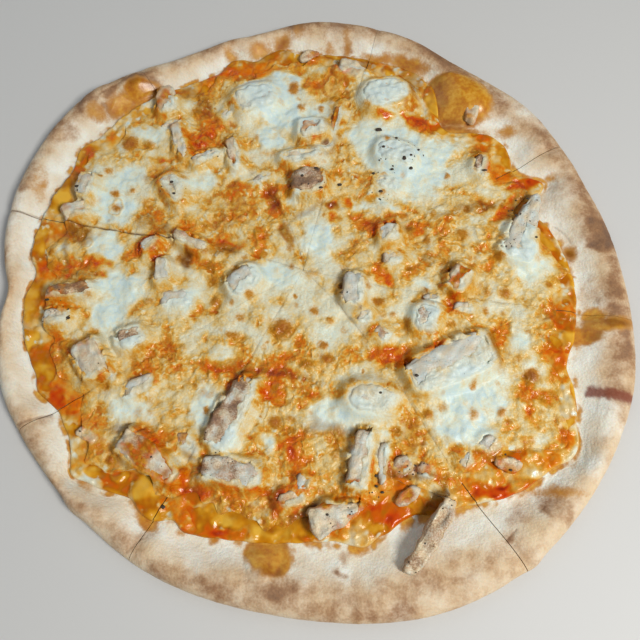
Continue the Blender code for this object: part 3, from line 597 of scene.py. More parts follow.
class Recipe:
    """A node tree, with a short word for each step. Every step gives what the next one needs."""

    def __init__(self, tree):
        self.tree = tree

    def fill(self, node, inputs):
        """Joins a node's inputs to other nodes' outputs or sets them. Gives its own outputs."""
        for key, value in inputs.items():
            if isinstance(value, bpy.types.NodeSocket):
                self.tree.links.new(value, node.inputs[key])
            else:
                node.inputs[key].default_value = value
        return node.outputs

    def add(self, kind, inputs=None, **settings):
        node = self.tree.nodes.new(kind)
        for key, value in settings.items():
            setattr(node, key, value)
        return self.fill(node, inputs or {})

    def sums(self, operation, *values):
        return self.add("ShaderNodeMath", dict(enumerate(values)), operation=operation)[0]

    def plus(self, first, second):
        return self.sums("ADD", first, second)

    def times(self, first, second):
        return self.sums("MULTIPLY", first, second)

    def scaled(self, value, by, start):
        return self.sums("MULTIPLY_ADD", value, by, start)

    def between(self, value, low, high, out_low=0.0, out_high=1.0):
        """A value carried smoothly from one range to another."""
        inputs = {0: value, 1: low, 2: high, 3: out_low, 4: out_high}
        return self.add("ShaderNodeMapRange", inputs, interpolation_type="SMOOTHSTEP")[0]

    def mix(self, share, first, second):
        """Colour between two colours."""
        return self.add("ShaderNodeMix", {0: share, 6: first, 7: second}, data_type="RGBA")[2]

    def ramp(self, value, stops):
        """Colours along a value, smoothly joined."""
        node = self.tree.nodes.new("ShaderNodeValToRGB")
        for at, _ in stops[1:-1]:
            node.color_ramp.elements.new(at)
        for element, (_, colour) in zip(node.color_ramp.elements, stops):
            element.color = screen(*colour)
        return self.fill(node, {"Fac": value})["Color"]

    def read(self, name):
        return self.add("ShaderNodeAttribute", attribute_name=name)["Fac"]

    def place(self):
        return self.add("ShaderNodeTexCoord")["Object"]

    def use(self, group, **inputs):
        return self.add("ShaderNodeGroup", inputs, node_tree=group.tree)

    def bump(self, height, strength, distance):
        inputs = {"Height": height, "Strength": strength, "Distance": distance}
        return self.add("ShaderNodeBump", inputs)["Normal"]

    def surface(self, inputs):
        """The material's own shader, joined up or set."""
        self.fill(self.tree.nodes["Principled BSDF"], inputs)


def shared_effect(name, inputs, outputs):
    """A shader node group with named values, and the nodes where they enter and leave."""
    tree = bpy.data.node_groups.new(name, "ShaderNodeTree")
    for label, value in inputs.items():
        socket = tree.interface.new_socket(label, in_out="INPUT", socket_type=FLOAT)
        socket.default_value = value
    for label, kind in outputs.items():
        tree.interface.new_socket(label, in_out="OUTPUT", socket_type=kind)
    leave = tree.nodes.new("NodeGroupOutput")
    return Recipe(tree), tree.nodes.new("NodeGroupInput").outputs, leave


def new_material(name):
    made = bpy.data.materials.new(name)
    made.use_nodes = True
    return made, Recipe(made.node_tree)


# %% [markdown]
# ### Effects that several finishes share
#
# *Grain* is fine mottling on Object coordinates, in metres, so it has the same size on every
# piece. *Hot sauce* turns two masks into the colour and gloss of sauce and oil. *Oven brown*
# turns a third into the colours that baking gives, from tan to char.


# %% Grain
grain, enter, leave = shared_effect(
    "Grain", {"Size": 0.002, "Detail": 3.0}, {"Value": FLOAT, "Blotches": FLOAT})
place = grain.place()
per_size = grain.sums("DIVIDE", 1.0, enter["Size"])
fine = grain.add("ShaderNodeTexNoise", {
    "Vector": place, "Scale": per_size, "Detail": enter["Detail"]})["Fac"]
coarse = grain.add("ShaderNodeTexNoise", {
    "Vector": place, "Scale": grain.times(per_size, 0.28), "Detail": 2.0})["Fac"]
grain.fill(leave, {
    "Value": grain.between(fine, 0.3, 0.7), "Blotches": grain.between(coarse, 0.35, 0.65)})

# %% Hot sauce
SAUCES = (
    (0.0, (222, 176, 66)), (0.25, (202, 140, 18)), (0.45, (182, 108, 0)), (0.6, (202, 102, 0)),
    (0.8, (198, 72, 0)), (1.0, (146, 38, 0)),
)

hot_sauce, enter, leave = shared_effect(
    "Hot sauce", {"Red": 0.5, "Oil": 0.0, "Mottle": 0.5}, {"Color": COLOUR, "Roughness": FLOAT})
redness = hot_sauce.plus(enter["Red"], hot_sauce.scaled(enter["Mottle"], 0.36, -0.18))
redness = hot_sauce.sums("SUBTRACT", redness, hot_sauce.times(enter["Oil"], 0.22))
hot_sauce.fill(leave, {
    "Color": hot_sauce.ramp(redness, SAUCES),
    "Roughness": hot_sauce.between(enter["Oil"], 0.0, 1.0, 0.3, 0.2),
})

# %% Sauce showing through cheese
THROUGH = (
    (0.0, (204, 220, 218)), (0.12, (220, 226, 210)), (0.25, (220, 211, 180)),
    (0.38, (220, 194, 134)), (0.52, (216, 166, 66)), (0.66, (214, 126, 4)),
    (0.82, (204, 86, 0)), (1.0, (152, 46, 0)),
)

through_cheese, enter, leave = shared_effect(
    "Sauce through cheese", {"Heat": 0.4, "Mottle": 0.5}, {"Color": COLOUR})
heat = through_cheese.plus(enter["Heat"], through_cheese.scaled(enter["Mottle"], 0.1, -0.05))
through_cheese.fill(leave, {"Color": through_cheese.ramp(heat, THROUGH)})

# %% Oven brown
BROWNS = (
    (0.0, (214, 186, 150)), (0.3, (190, 150, 108)), (0.65, (150, 104, 62)), (1.0, (100, 56, 24)),
)

oven_brown, enter, leave = shared_effect(
    "Oven brown", {"Toast": 0.5}, {"Color": COLOUR, "Cover": FLOAT})
oven_brown.fill(leave, {
    "Color": oven_brown.ramp(enter["Toast"], BROWNS),
    "Cover": oven_brown.between(enter["Toast"], -0.05, 0.75),
})
print("shared effects:", [g.name for g in bpy.data.node_groups if g.bl_idname == "ShaderNodeTree"])

# %% [markdown]
# ## The dough
#
# A hand-stretched dough has a low, uneven rim: pale and floury, browned in blotches where it
# rose nearest the oven's roof, with small blisters and pores. The wedge's section is the one
# of the solids: round outside, highest a third of the way in, then a long slope to the sauce.


# %% The dough's height
def bubble_height(x, y, bubbles):
    height = np.zeros_like(x)
    for at_x, at_y, half_length, half_width, tall, turn in bubbles:
        along, across = along_and_across(x, y, at_x, at_y, turn)
        inside_share = 1.0 - (along / half_length) ** 2 - (across / half_width) ** 2
        height += tall * np.maximum(0.0, inside_share) ** 0.7
    return height


def crust_top(x, y):
    """Height of the dough: flat under the sauce, then the rim's long slope and round outside."""
    radius, angle = polar(x, y)
    outer, foot = rim_reach(angle), sauce_reach(angle)
    share = np.clip((outer - radius) / (outer - foot), 0.0, 1.0)
    crest = RIM_HEIGHT + unevenness(x, y, RIM_ROLL)
    crest = crest - CUT_DIP * bell(cut_distance(x, y), CUT_DIP_WIDTH)
    up = np.sqrt(np.maximum(0.0, 1.0 - (1.0 - np.minimum(share / RIM_CREST, 1.0)) ** 2))
    round_outside = WIDEST_HEIGHT + (crest - WIDEST_HEIGHT) * up
    slope_share = np.maximum(0.0, (share - RIM_CREST) / (1.0 - RIM_CREST))
    down = np.cos(np.pi / 2 * slope_share ** RIM_SLOPE) ** 2
    slope = BASE_THICK + (crest - BASE_THICK) * down
    height = np.where(share < RIM_CREST, round_outside, slope)
    ripple = unevenness(x, y, RIM_RIPPLE) * np.sin(np.pi * share)
    foot_fade = np.minimum(1.0, (1.0 - share) * 6.0)
    height = height + bubble_height(x, y, RIM_BUBBLES[:1])
    return height + ripple + bubble_height(x, y, RIM_BUBBLES[1:]) * foot_fade


# %% Where the rim is browned, floury, stained and scorched
# Browning along the crest, at every fifteen degrees
CREST_TOAST = (
    0.65, 0.45, 0.35, 0.35, 0.5, 0.5, 0.5, 0.4, 0.5, 0.6, 0.5, 0.5, 0.35, 0.3, 0.35, 0.5, 0.4, 0.5,
    0.55, 0.55, 0.4, 0.25, 0.35, 0.55,
)
TOASTED = (
    (-153, 93, 10, 8, 20, 0.5), (-108, 143, 8, 5, 20, 0.45), (-75, 152, 9, 4, 15, 0.4),
    (-124, 122, 8, 4, 50, 0.8), (-125, 111, 5, 3, 0, 0.9), (-107, 128, 13, 9, 20, 0.6),
    (-110, 130, 8, 6, 10, 1.2), (-137, 118, 4, 6, 30, 0.6), (-133, 107, 7, 4, 0, 0.55),
    (-168, 57, 4, 5, 0, 0.6), (-174, 12, 3, 6, 0, 0.6), (-163, 68, 4, 3, 0, 0.4),
    (-10, 172, 4, 7, 10, 0.9), (-20, 160, 8, 4, 40, 0.6), (21, 170, 3, 6, 0, 0.6),
    (22, 158, 2, 3, 0, 0.9), (9, 165, 2, 4, 0, 0.6), (32, 165, 2, 2, 0, 0.6),
    (62, 157, 9, 6, -20, 0.5), (50, 165, 6, 4, 0, 0.4), (111, 127, 5, 4, 0, 0.45),
    (118, 120, 5, 3, -40, 0.45), (137, 98, 7, 9, 30, 0.35), (147, 84, 6, 3, 40, 0.35),
    (78, 147, 3, 2, 0, 0.6), (147, 57, 8, 4, 0, 0.35), (165, 25, 9, 14, 10, 0.85),
    (148, 15, 3, 4, 0, 0.95), (152, -93, 5, 4, 0, 0.4), (125, -125, 8, 10, 40, 0.5),
    (105, -128, 8, 5, 30, 0.45), (63, -160, 10, 6, 10, 0.55), (-15, -165, 18, 7, 0, 0.35),
    (-5, -168, 8, 5, 0, 0.5), (10, -163, 8, 4, 0, 0.4), (45, -163, 20, 6, 5, 0.5),
    (60, -158, 10, 5, 10, 0.6), (-50, -160, 14, 5, -10, 0.3), (-90, -143, 14, 5, -30, 0.5),
    (14, -154, 1.8, 1.8, 0, 0.9), (18, -148, 0.9, 0.9, 0, 0.7), (-25, -156, 6, 4, 0, 0.5),
    (-100, 136, 6, 3, 20, 0.6), (-118, 105, 6, 3, 0, 0.5), (-147, -83, 8, 1.5, 22, 0.6),
    (99, -139, 3, 1.2, 60, 0.8), (-88, -143, 5, 1.2, 30, 0.8), (157, -8, 8, 12, 0, 0.35),
)
FLOURED = (
    (-145, 85, 8, 14, -20, 0.9), (-155, 65, 6, 10, 0, 0.8), (-128, -98, 12, 7, 125, 0.8),
    (150, -80, 11, 12, 0, 1), (140, -97, 10, 9, 0, 0.8), (12, -149, 26, 9, 0, 0.9),
    (-60, -146, 16, 6, -12, 0.7), (-170, 35, 8, 22, 5, 0.8), (-160, -60, 8, 12, 20, 0.6),
    (130, 108, 14, 8, -50, 0.7), (142, 45, 8, 20, 10, 0.6), (75, -137, 14, 8, 10, 0.7),
    (-95, 145, 12, 4, 30, 0.3), (10, 160, 30, 6, 0, 0.3),
)
SCORCH = ((3.0, 1.0, ((149, -65), (160, -67), (171, -70))),)
SPILLS = (
    (-22, -144, 11, 10, 0, 1), (-18, -150, 8, 8, 0, 1), (162, -28, 13, 4, 0, 0.95),
    (150, -33, 9, 6, 10, 1), (156, -22, 6, 4, 0, 1), (140, 63, 4, 1.2, 15, 0.8),
    (8, 157, 4, 2, 0, 0.5), (-20, 161, 6, 4, 40, 0.7), (-10, 170, 3, 6, 10, 0.5),
    (21, 163, 2.5, 6, 0, 0.5), (88, 118, 22, 17, -25, 1), (148, 16, 3, 3.5, 0, 0.9),
    (68, 124, 8, 10, 0, 0.9), (10, 157, 4, 6, 0, 0.5), (22, 158, 3, 6, 0, 0.6),
    (-34, 155, 8, 4, 20, 0.7), (84, 98, 20, 4, -8, 0.9), (25, -143, 4, 5, 0, 0.7),
    (-83, -129, 7, 5, 115, 1), (118, 96, 6, 4, 0, 0.6), (-160, 58, 3, 10, 0, 0.5),
    (-106, 124, 10, 8, 10, 0.95), (-132, 107, 6, 4.5, -20, 0.6), (-118, 115, 10, 6, 40, 0.75),
    (-99, 127, 6, 4, -20, 0.7), (-117, -111, 6, 3, -50, 0.7), (134, -100, 7, 5, -40, 0.3),
    (125, -117, 12, 3, 0, 0.6), (-52, 152, 5, 3, 0, 0.7), (60, 146, 12, 4, -20, 0.9),
    (42, 151, 10, 3, -5, 0.8),
)
# Where a stain is deep and brown. The marks at (76, 120) and (88, 137), on the upper left of the
# big bubble, are painted shade.
RICH_STAINS_AND_SHADE = (
    (74, 104, 9, 3, 0, 0.8), (84, 101, 16, 3, -5, 0.8), (88, 137, 14, 2, -15, 0.5),
    (-18, -156, 7, 2.5, 5, 1), (-12, -140, 4, 5, 0, 0.6), (-30, -142, 3, 5, 20, 0.4),
    (-111, 129, 7, 3.5, 35, 0.9), (-98, 126, 6, 3, -20, 0.8), (-20, 162, 8, 3, 40, 0.6),
    (-10, 171, 3.5, 7, 10, 0.8), (21, 163, 2.5, 8, 0, 0.7), (9, 160, 2, 6, 0, 0.5),
    (76, 120, 5, 13, 0, 0.5), (20, 153, 20, 2, 0, 0.4), (60, 146, 12, 3, -20, 0.4),
    (-126, 121, 5, 2.2, -50, 0.8), (-128, 111, 4, 2.2, 10, 0.7), (158, -36, 5, 4, 0, 0.8),
    (148, 15, 4, 4, 0, 1), (168, -27, 9, 4, 0, 0.9), (-28, -135, 9, 3, 0, 0.5),
)
# Fine cracks and folds in the rim: half width, depth, and the points passed
CREASES = (
    (0.4, 0.8, ((97, -140), (102, -135))),
    (0.6, 0.8, ((-153, -83), (-138, -77))),
    (0.5, 0.6, ((-91, -146), (-84, -139))),
    (0.5, 0.4, ((141, 33), (146, 28), (149, 22))),
    (0.5, 0.8, ((-176, 41), (-160, 39), (-145, 35))),
    (0.5, 0.4, ((-120, 128), (-130, 118), (-134, 108))),
)


def skin_marks(x, y, share):
    """Toast, flour, spilt sauce, scorching and creases on the rim, from 0 to 1. The toast also
    darkens the rim's far side as painted shade.
    """
    _, angle = polar(x, y)
    wx, wy = warped(x, y, 2.5, 10.0, 21.0)
    crest = bell(share - 0.24, 0.34) * smooth_ring(CREST_TOAST, angle)
    radial = lumps(0.6 * angle, 0.25 * (RIM_REACH[0] - np.hypot(x, y)), 2.6, 32.0)
    patchy = 0.84 + 0.5 * lumps(x, y, 17.0, 31.0) + 0.3 * lumps(x, y, 6.0, 33.0)
    patchy = patchy + 0.1 * radial
    # Extra toast on the far side of the rim, about 55 degrees round, is painted shade
    toast = crest * np.clip(patchy, 0, 1.4) + 0.2 * bell(turn_between(angle, 55.0), 60.0)
    toast = toast + 0.16 * np.clip(lumps(x, y, 24.0, 35.0), 0, 1) + 0.08 * np.clip(radial, 0, 1)
    flour = np.maximum(spots(wx, wy, FLOURED, 5.0), 0.8 * rise(share, 0.4, 0.8))
    flour = np.clip(flour + 0.3 * radial, 0, 1)
    marks = spots(wx, wy, TOASTED, 3.6) * (0.95 + 0.3 * radial)
    toast = np.clip(np.maximum(toast * (1 - 0.6 * flour), marks), 0, 1)
    spill = spots(*warped(x, y, 1.4, 9.0, 24.0), SPILLS, 3.4)
    edge_noise = 0.45 + 0.9 * lumps(x, y, 9.0, 27.0) + 0.4 * lumps(x, y, 3.0, 28.0)
    soak = rise(share, 0.84, 0.99) * np.clip(edge_noise, 0, 1)
    return {
        "toast": toast, "flour": flour, "spill": np.maximum(spill, 0.9 * soak),
        "scorch": strokes(*warped(x, y, 0.8, 2.5, 29.0), SCORCH, 1.2),
        "crease": strokes(x, y, CREASES, 0.4), "rich_stain_and_shade": spots(wx, wy, RICH_STAINS_AND_SHADE, 3.0),
    }


# %% [markdown]
# ### A finish for baked dough
#
# The colour goes from floury cream to tan and brown by the toast mask, broken up by grain of
# two sizes. Spilt sauce is the shared hot sauce, and it alone is glossy. The bump is for the
# flour's fine tooth: the folds and blisters themselves are in the mesh.


# %% The dough's finish
DOUGH_CREAM = screen(224, 208, 182)
DOUGH_FLOUR = screen(238, 240, 231)
DOUGH_CRUMB = screen(216, 182, 128)
SCORCH_BROWN = screen(130, 60, 38)
CREASE_SHADE = screen(120, 76, 44)
STAIN_EDGE = screen(192, 144, 82)
DARK_STAIN_AND_SHADE = screen(126, 72, 8)

dough_finish, t = new_material("baked_dough")
tooth = t.use(grain, Size=0.0012, Detail=4.0)["Value"]
blotch = t.use(grain, Size=0.004, Detail=3.0)
streaky = t.use(grain, Size=0.0024, Detail=2.0)
spill, rich_stain_and_shade = t.read("spill"), t.read("rich_stain_and_shade")
uneven = t.plus(t.scaled(blotch["Value"], 0.16, -0.08), t.scaled(tooth, 0.12, -0.06))
brown = t.use(oven_brown, Toast=t.plus(t.read("toast"), uneven))
colour = t.mix(t.read("flour"), DOUGH_CREAM, DOUGH_FLOUR)
colour = t.mix(t.times(blotch["Blotches"], 0.3), colour, DOUGH_CRUMB)
colour = t.mix(t.times(brown["Cover"], 0.85), colour, brown["Color"])
colour = t.mix(t.times(t.read("scorch"), 0.85), colour, SCORCH_BROWN)
# Painted shade in the cracks and folds
colour = t.mix(t.times(t.read("crease"), 0.6), colour, CREASE_SHADE)
gold = t.scaled(streaky["Value"], 0.5, t.times(streaky["Blotches"], 0.5))
wet = t.use(hot_sauce, Red=t.scaled(rich_stain_and_shade, 0.12, 0.28), Oil=0.2, Mottle=gold)["Color"]
# Dark stain, and painted shade at the upper left of the big bubble
wet = t.mix(t.times(rich_stain_and_shade, 0.75), wet, DARK_STAIN_AND_SHADE)
wet = t.mix(t.between(spill, 0.45, 0.8, 0.75, 0.0), wet, STAIN_EDGE)
soaked = t.between(t.plus(spill, t.times(uneven, 0.8)), 0.08, 0.62, 0.0, 0.94)
height = t.times(tooth, t.between(spill, 0.2, 0.7, 1.0, 0.1))
t.surface({
    "Base Color": t.mix(soaked, colour, wet),
    "Roughness": t.between(spill, 0.4, 0.9, 0.72, 0.26),
    "Normal": t.bump(height, 0.35, 0.0004),
    "Specular IOR Level": 0.35, "Subsurface Weight": 0.12,
    "Subsurface Radius": (1.0, 0.6, 0.35), "Subsurface Scale": 0.003,
})

# %% [markdown]
# ### Skin with Geometry Nodes
#
# The fine relief of a baked skin, soft wrinkles and small pores, is the same rule all over
# the rim, so a Geometry Nodes tree adds it to every wedge. Its sizes are named inputs, and an
# attribute says where there is skin, so that the cut sides stay as the knife left them.


# %% Geometry Nodes helpers
class Growth(Recipe):
    """A Geometry Nodes tree that takes a mesh and named inputs, and gives real, dressed faces."""

    def __init__(self, name, **inputs):
        super().__init__(bpy.data.node_groups.new(name, "GeometryNodeTree"))
        for way in ("INPUT", "OUTPUT"):
            self.tree.interface.new_socket("Geometry", in_out=way, socket_type="NodeSocketGeometry")
        for label, kind in {**inputs, "Finish": "Material"}.items():
            self.tree.interface.new_socket(
                label.replace("_", " "), in_out="INPUT", socket_type="NodeSocket" + kind)
        self.enter = self.tree.nodes.new("NodeGroupInput").outputs

    def relief(self, place, depth, **look):
        """Noise with its middle at nought and a depth, changed by the tree's seed."""
        inputs = {"Vector": place, "W": self.enter["Seed"], **look}
        found = self.add("ShaderNodeTexNoise", inputs, noise_dimensions="4D")[0]
        return self.times(self.sums("SUBTRACT", found, 0.5), self.enter[depth])

    def one_per(self, length):
        return self.sums("DIVIDE", 1.0, self.enter[length])

    def position(self):
        return self.add("GeometryNodeInputPosition")[0]

    def normal(self):
        return self.add("GeometryNodeInputNormal")[0]

    def named(self, name):
        return self.add("GeometryNodeInputNamedAttribute", {"Name": name}, data_type="FLOAT")[0]

    def pushed(self, geometry, far):
        """The geometry with every point moved along its normal."""
        push = {0: self.normal(), "Scale": far}
        push = self.add("ShaderNodeVectorMath", push, operation="SCALE")[0]
        return self.add("GeometryNodeSetPosition", {"Geometry": geometry, "Offset": push})[0]

    def leave(self, geometry):
        real = self.add("GeometryNodeRealizeInstances", {"Geometry": geometry})[0]
        dressed = {"Geometry": real, "Material": self.enter["Finish"]}
        dressed = self.add("GeometryNodeSetMaterial", dressed)[0]
        self.fill(self.tree.nodes.new("NodeGroupOutput"), {0: dressed})


def grown(piece, growth, values):
    """The piece after a Geometry Nodes tree with the given inputs, as a plain mesh."""
    modifier = piece.modifiers.new(growth.tree.name, "NODES")
    modifier.node_group = growth.tree
    for item in growth.tree.interface.items_tree:
        if item.in_out == "INPUT" and item.name in values:
            modifier[item.identifier] = values[item.name]
    graph = bpy.context.evaluated_depsgraph_get()
    mesh = bpy.data.meshes.new_from_object(piece.evaluated_get(graph), depsgraph=graph)
    piece.modifiers.remove(modifier)
    old = piece.data
    mesh.name = old.name
    piece.data = mesh
    bpy.data.meshes.remove(old)
    return piece


# %% The skin tree
skin = Growth(
    "Baked skin", Wrinkle_length="Float", Wrinkle_depth="Float", Pore_size="Float",
    Pore_depth="Float", Seed="Float")
position = skin.position()
wrinkle = skin.relief(
    position, "Wrinkle depth", Scale=skin.one_per("Wrinkle length"), Detail=3.0, Distortion=0.6)
pore = {"Vector": position, "Scale": skin.one_per("Pore size"), "Randomness": 1.0}
pore = skin.between(skin.add("ShaderNodeTexVoronoi", pore)[0], 0.12, 0.34, -1.0, 0.0)
pore = skin.times(pore, skin.enter["Pore depth"])
skin.leave(skin.pushed(
    skin.enter["Geometry"], skin.times(skin.plus(wrinkle, pore), skin.named("skin"))))

# %% Eight wedges of dough
# How far each cut stands open at the rim
RIM_GAPS = (0.16, 0.4, 0.14, 0.18, 0.4, 0.4, 0.3, 0.4)
DOUGH_STEP = 0.8
DOUGH_REACH = 180.0
UNDER_ROWS = 7
OUTSIDE_ROWS = 14
SLOPE_ROWS = 42
FLOOR_SHARES = (0.97, 0.9, 0.7, 0.4, 0.15, 0.0)
QUARTER_TURN = np.pi / 2


def way_in(share):
    """The closed curve that lies a share of the way in from the rim to the sauce."""
    return lambda angle: rim_reach(angle) + (sauce_reach(angle) - rim_reach(angle)) * share


def dough_rows(number):
    """Rows of a wedge of dough from the edge of its underside over the rim to its tip.

    Each row has x, y, z and the share of the way in, which is below 0 under the rim.
    """
    across = np.linspace(0.0, 1.0, int(slice_span(number) * DOUGH_REACH / DOUGH_STEP) + 1)
    rows = []

    def add_row(distance, share, height=None):
        x, y = slice_points(number, across, distance, RIM_GAPS)
        z = crust_top(x, y) if height is None else np.full_like(x, height)
        rows.append((x, y, z, np.full_like(x, share)))

    for turn in np.linspace(0.0, QUARTER_TURN, UNDER_ROWS, endpoint=False):
        inset = RIM_UNDERCUT * (1.0 - math.sin(turn))
        distance = slice_distances(number, across, lambda angle: rim_reach(angle) - inset)
        add_row(distance, -inset / RIM_UNDERCUT, WIDEST_HEIGHT * (1.0 - math.cos(turn)))
    outside = np.linspace(0.0, QUARTER_TURN, OUTSIDE_ROWS, endpoint=False)
    outside = RIM_CREST * (1.0 - np.cos(outside))
    for share in np.concatenate([outside, np.linspace(RIM_CREST, 1.0, SLOPE_ROWS)]):
        foot = slice_distances(number, across, way_in(share))
        add_row(foot, share)
    for inner in FLOOR_SHARES:
        add_row(TIP_START + (foot - TIP_START) * inner, 1.0, BASE_THICK)
    return rows


def make_dough(number):
    (x, y, z, share), counts = joined(dough_rows(number))
    values = skin_marks(x, y, np.maximum(share, 0.0))
    low = rise(-share, 0.0, 1.0)
    low_toast = low * (0.35 + 0.3 * lumps(x, y, 8.0, 41.0))
    values["toast"] = np.clip(np.maximum(values["toast"], low_toast), 0, 1)
    values["flour"] = values["flour"] * (1 - low)
    sink = 0.5 * values["crease"] - 0.25 * values["spill"] * (share < 0.98)
    z = np.where(share >= 0.0, z - sink, z)
    side = rise(cut_distance(x, y), KNIFE_GAP, 2.0)
    bare = rise(share, -0.6, 0.0) * (1 - rise(share, 0.97, 1.0))
    values["skin"] = side * bare * (1 - 0.8 * values["spill"])
    corners, faces = closed_wedge(x, y, z, counts, 0.0)
    piece = mesh_piece(f"dough_wedge_{number + 1}", corners, faces, dough_finish, values)
    grown(piece, skin, {
        "Wrinkle length": 0.007, "Wrinkle depth": 0.0007, "Pore size": 0.0032,
        "Pore depth": 0.00018, "Seed": float(number), "Finish": dough_finish,
    })
    return keep(piece, "dough", f"crust_slice_{number + 1}")


dough = [make_dough(number) for number in range(len(CUTS))]
report("dough:", dough)

# %% [markdown]
# ## The sauce
#
# Buffalo sauce is thin and oily. Under the cheese it can't be seen, so its mesh is coarse
# there, and fine in the bare ring where it shows: small swellings, bubbles that set with a
# golden skin, and an edge that curves down to the dough like any wet edge.


# %% The sauce's own field and finish
# Caramel brown, also used for painted shade
SAUCE_BROWN_AND_SHADE = screen(124, 66, 4)


def net_noise(x, y):
    """Unevenness of the sauce and the cheese alike, so that it goes on from one to the other."""
    broad, fine = 0.26 * lumps(x, y, 12.0, 101.0), 0.13 * lumps(*warped(x, y), 5.5, 102.0)
    return broad + fine + 0.04 * lumps(x, y, 2.2, 106.0)


def calmed(heat):
    """Heat with its peaks lowered, so that it is golden where nothing else makes it red."""
    return heat - 0.55 * np.maximum(heat - 0.6, 0.0)


def islands(x, y, length, level):
    """Small curds, paler on top: partly cream that the sauce left clean, partly painted highlight.
    1 on them, 0 between.
    """
    tops = pebbles(*warped(x, y, 0.8, 3.0, level), length, level + 1.0)
    return rise(tops, 0.62, 0.95) * rise(lumps(x, y, 10.0, level + 2.0), -0.3, 0.35)


def bare_sauce(x, y):
    """How red and how oily bare sauce is, from 0 to 1."""
    wx, wy = warped(x, y)
    heat = calmed(0.12 + 0.9 * stretch_level(x, y) + net_noise(x, y))
    red = spots(wx, wy, RED, 2.4)
    oil = np.maximum(spots(wx, wy, OIL, 3.4), strokes(wx, wy, OIL_STROKES, 2.6))
    heat = heat + oil * (0.42 + 0.2 * lumps(x, y, 8.0, 56.0) - heat)
    heat = heat + red * (np.maximum(heat, 0.88 + 0.16 * lumps(wx, wy, 4.0, 52.0)) - heat)
    pools = lumps(x, y, 15.0, 55.0) + 0.3 * lumps(wx, wy, 5.0, 57.0)
    oil = np.maximum(np.maximum(oil, rise(pools, 0.2, 0.7)), 0.8 * red)
    heat = heat + (0.4 - heat) * 0.6 * ring_marks(x, y)
    curds = islands(x, y, 4.2, 151.0) * (1 - 0.7 * red)
    return np.clip(heat - 0.3 * curds, 0, 1), np.clip(oil * (1 - 0.8 * curds), 0, 1)


sauce_finish, t = new_material("buffalo_sauce")
ripple = t.use(grain, Size=0.003, Detail=2.0)
heat, oil = t.read("through"), t.read("oil")
plain = t.use(through_cheese, Heat=heat, Mottle=ripple["Value"])["Color"]
wet = t.use(hot_sauce, Red=heat, Oil=oil, Mottle=ripple["Blotches"])
colour = t.mix(t.between(oil, 0.0, 0.6, 0.1, 1.0), plain, wet["Color"])
rough_skin = t.times(ripple["Value"], t.between(oil, 0.2, 0.8, 1.0, 0.3))
t.surface({
    # Caramel-brown marks and painted shade darken the sauce
    "Base Color": t.mix(t.times(t.read("brown_and_shade"), 0.75), colour, SAUCE_BROWN_AND_SHADE),
    "Roughness": wet["Roughness"], "Normal": t.bump(rough_skin, 0.3, 0.0006),
    "Specular IOR Level": 0.22, "Coat Weight": 0.12, "Coat Roughness": 0.12,
})

# %% Eight wedges of sauce
SAUCE_STEP = 0.75
SAUCE_SPREAD = 155.0
SAUCE_INNER_SHARES = (0.85, 0.55, 0.25, 0.0)
RING_UNDER_CHEESE = 7.0
LOWEST_SAUCE = 0.15
WET_EDGE = 1.6


def sauce_edge(angle):
    """The sauce's edge, a little inside the line that the solids keep."""
    wander = 0.5 + 0.5 * np.sin(np.radians(47 * angle)) * np.sin(np.radians(31 * angle + 20))
    return sauce_reach(angle) - CLEAR - 0.9 * wander


def sauce_height(x, y, oil):
    radius, angle = polar(x, y)
    outer, inner = sauce_edge(angle), cheese_reach(angle)
    bare = rise(radius, inner - 1.0, inner + SAUCE_EDGE_WIDTH)
    blobs = 0.6 * lumps(x, y, 7.0, 61.0) + 0.25 * lumps(x, y, 3.0, 63.0) + 0.6 * ring_marks(x, y)
    blobs += (1 - oil) * (1.3 * pebbles(*warped(x, y, 1.2, 6.0, 15.0), 5.2, 103.0) - 0.4)
    swell = SAUCE_SWELL + 0.15 + blobs + bubble_height(x, y, SAUCE_BUBBLES)
    wet_edge = np.sqrt(np.clip((outer - radius) / WET_EDGE, 0.0, 1.0))
    lift = bubble_height(x, y, RIM_BUBBLES[:1])
    depth = (SAUCE_THICK - LOWEST_SAUCE + bare * swell) * wet_edge
    return SAUCE_BOTTOM + LOWEST_SAUCE + lift + depth


def make_sauce(number):
    across = np.linspace(0.0, 1.0, int(slice_span(number) * SAUCE_SPREAD / SAUCE_STEP) + 1)
    outer = slice_distances(number, across, sauce_edge)
    inner = slice_distances(number, across, lambda angle: cheese_reach(angle) - RING_UNDER_CHEESE)
    steps = int((outer - inner).max() / SAUCE_STEP)
    distances = [outer + (inner - outer) * k / steps for k in range(steps + 1)]
    distances += [TIP_START + (inner - TIP_START) * share for share in SAUCE_INNER_SHARES]
    (x, y), counts = joined([slice_points(number, across, distance) for distance in distances])
    heat, oil = bare_sauce(x, y)
    z = sauce_height(x, y, oil)
    radius, angle = polar(x, y)
    heat = heat - 0.1 * bell(sauce_edge(angle) - radius, 2.5)
    # Darker along the foot of the cheese's edge, and at the listed marks of caramel brown and
    # painted shade
    brown_and_shade = 0.4 * bell(radius - cheese_reach(angle), 1.6) * rise(lumps(x, y, 6.0, 71.0), -0.2, 0.6)
    brown_and_shade = np.maximum(brown_and_shade, spots(*warped(x, y), BROWN_AND_SHADE_MARKS, 2.2))
    corners, faces = closed_wedge(x, y, z, counts, SAUCE_BOTTOM)
    values = {"through": np.clip(heat, 0, 1), "oil": oil, "brown_and_shade": brown_and_shade}
    piece = mesh_piece(f"sauce_wedge_{number + 1}", corners, faces, sauce_finish, values)
    return keep(piece, "sauce", f"sauce_slice_{number + 1}")


sauce = [make_sauce(number) for number in range(len(CUTS))]
report("sauce:", sauce)

# %% [markdown]
# ## The chicken
#
# Grilled breast, cut by hand into slices, cubes and strips. Each piece starts from a merged
# copy of its solid, so it has the solid's place and form. A Geometry Nodes tree divides it
# finely, softens the cut edges and raises the fibres of the meat, which run along the piece.


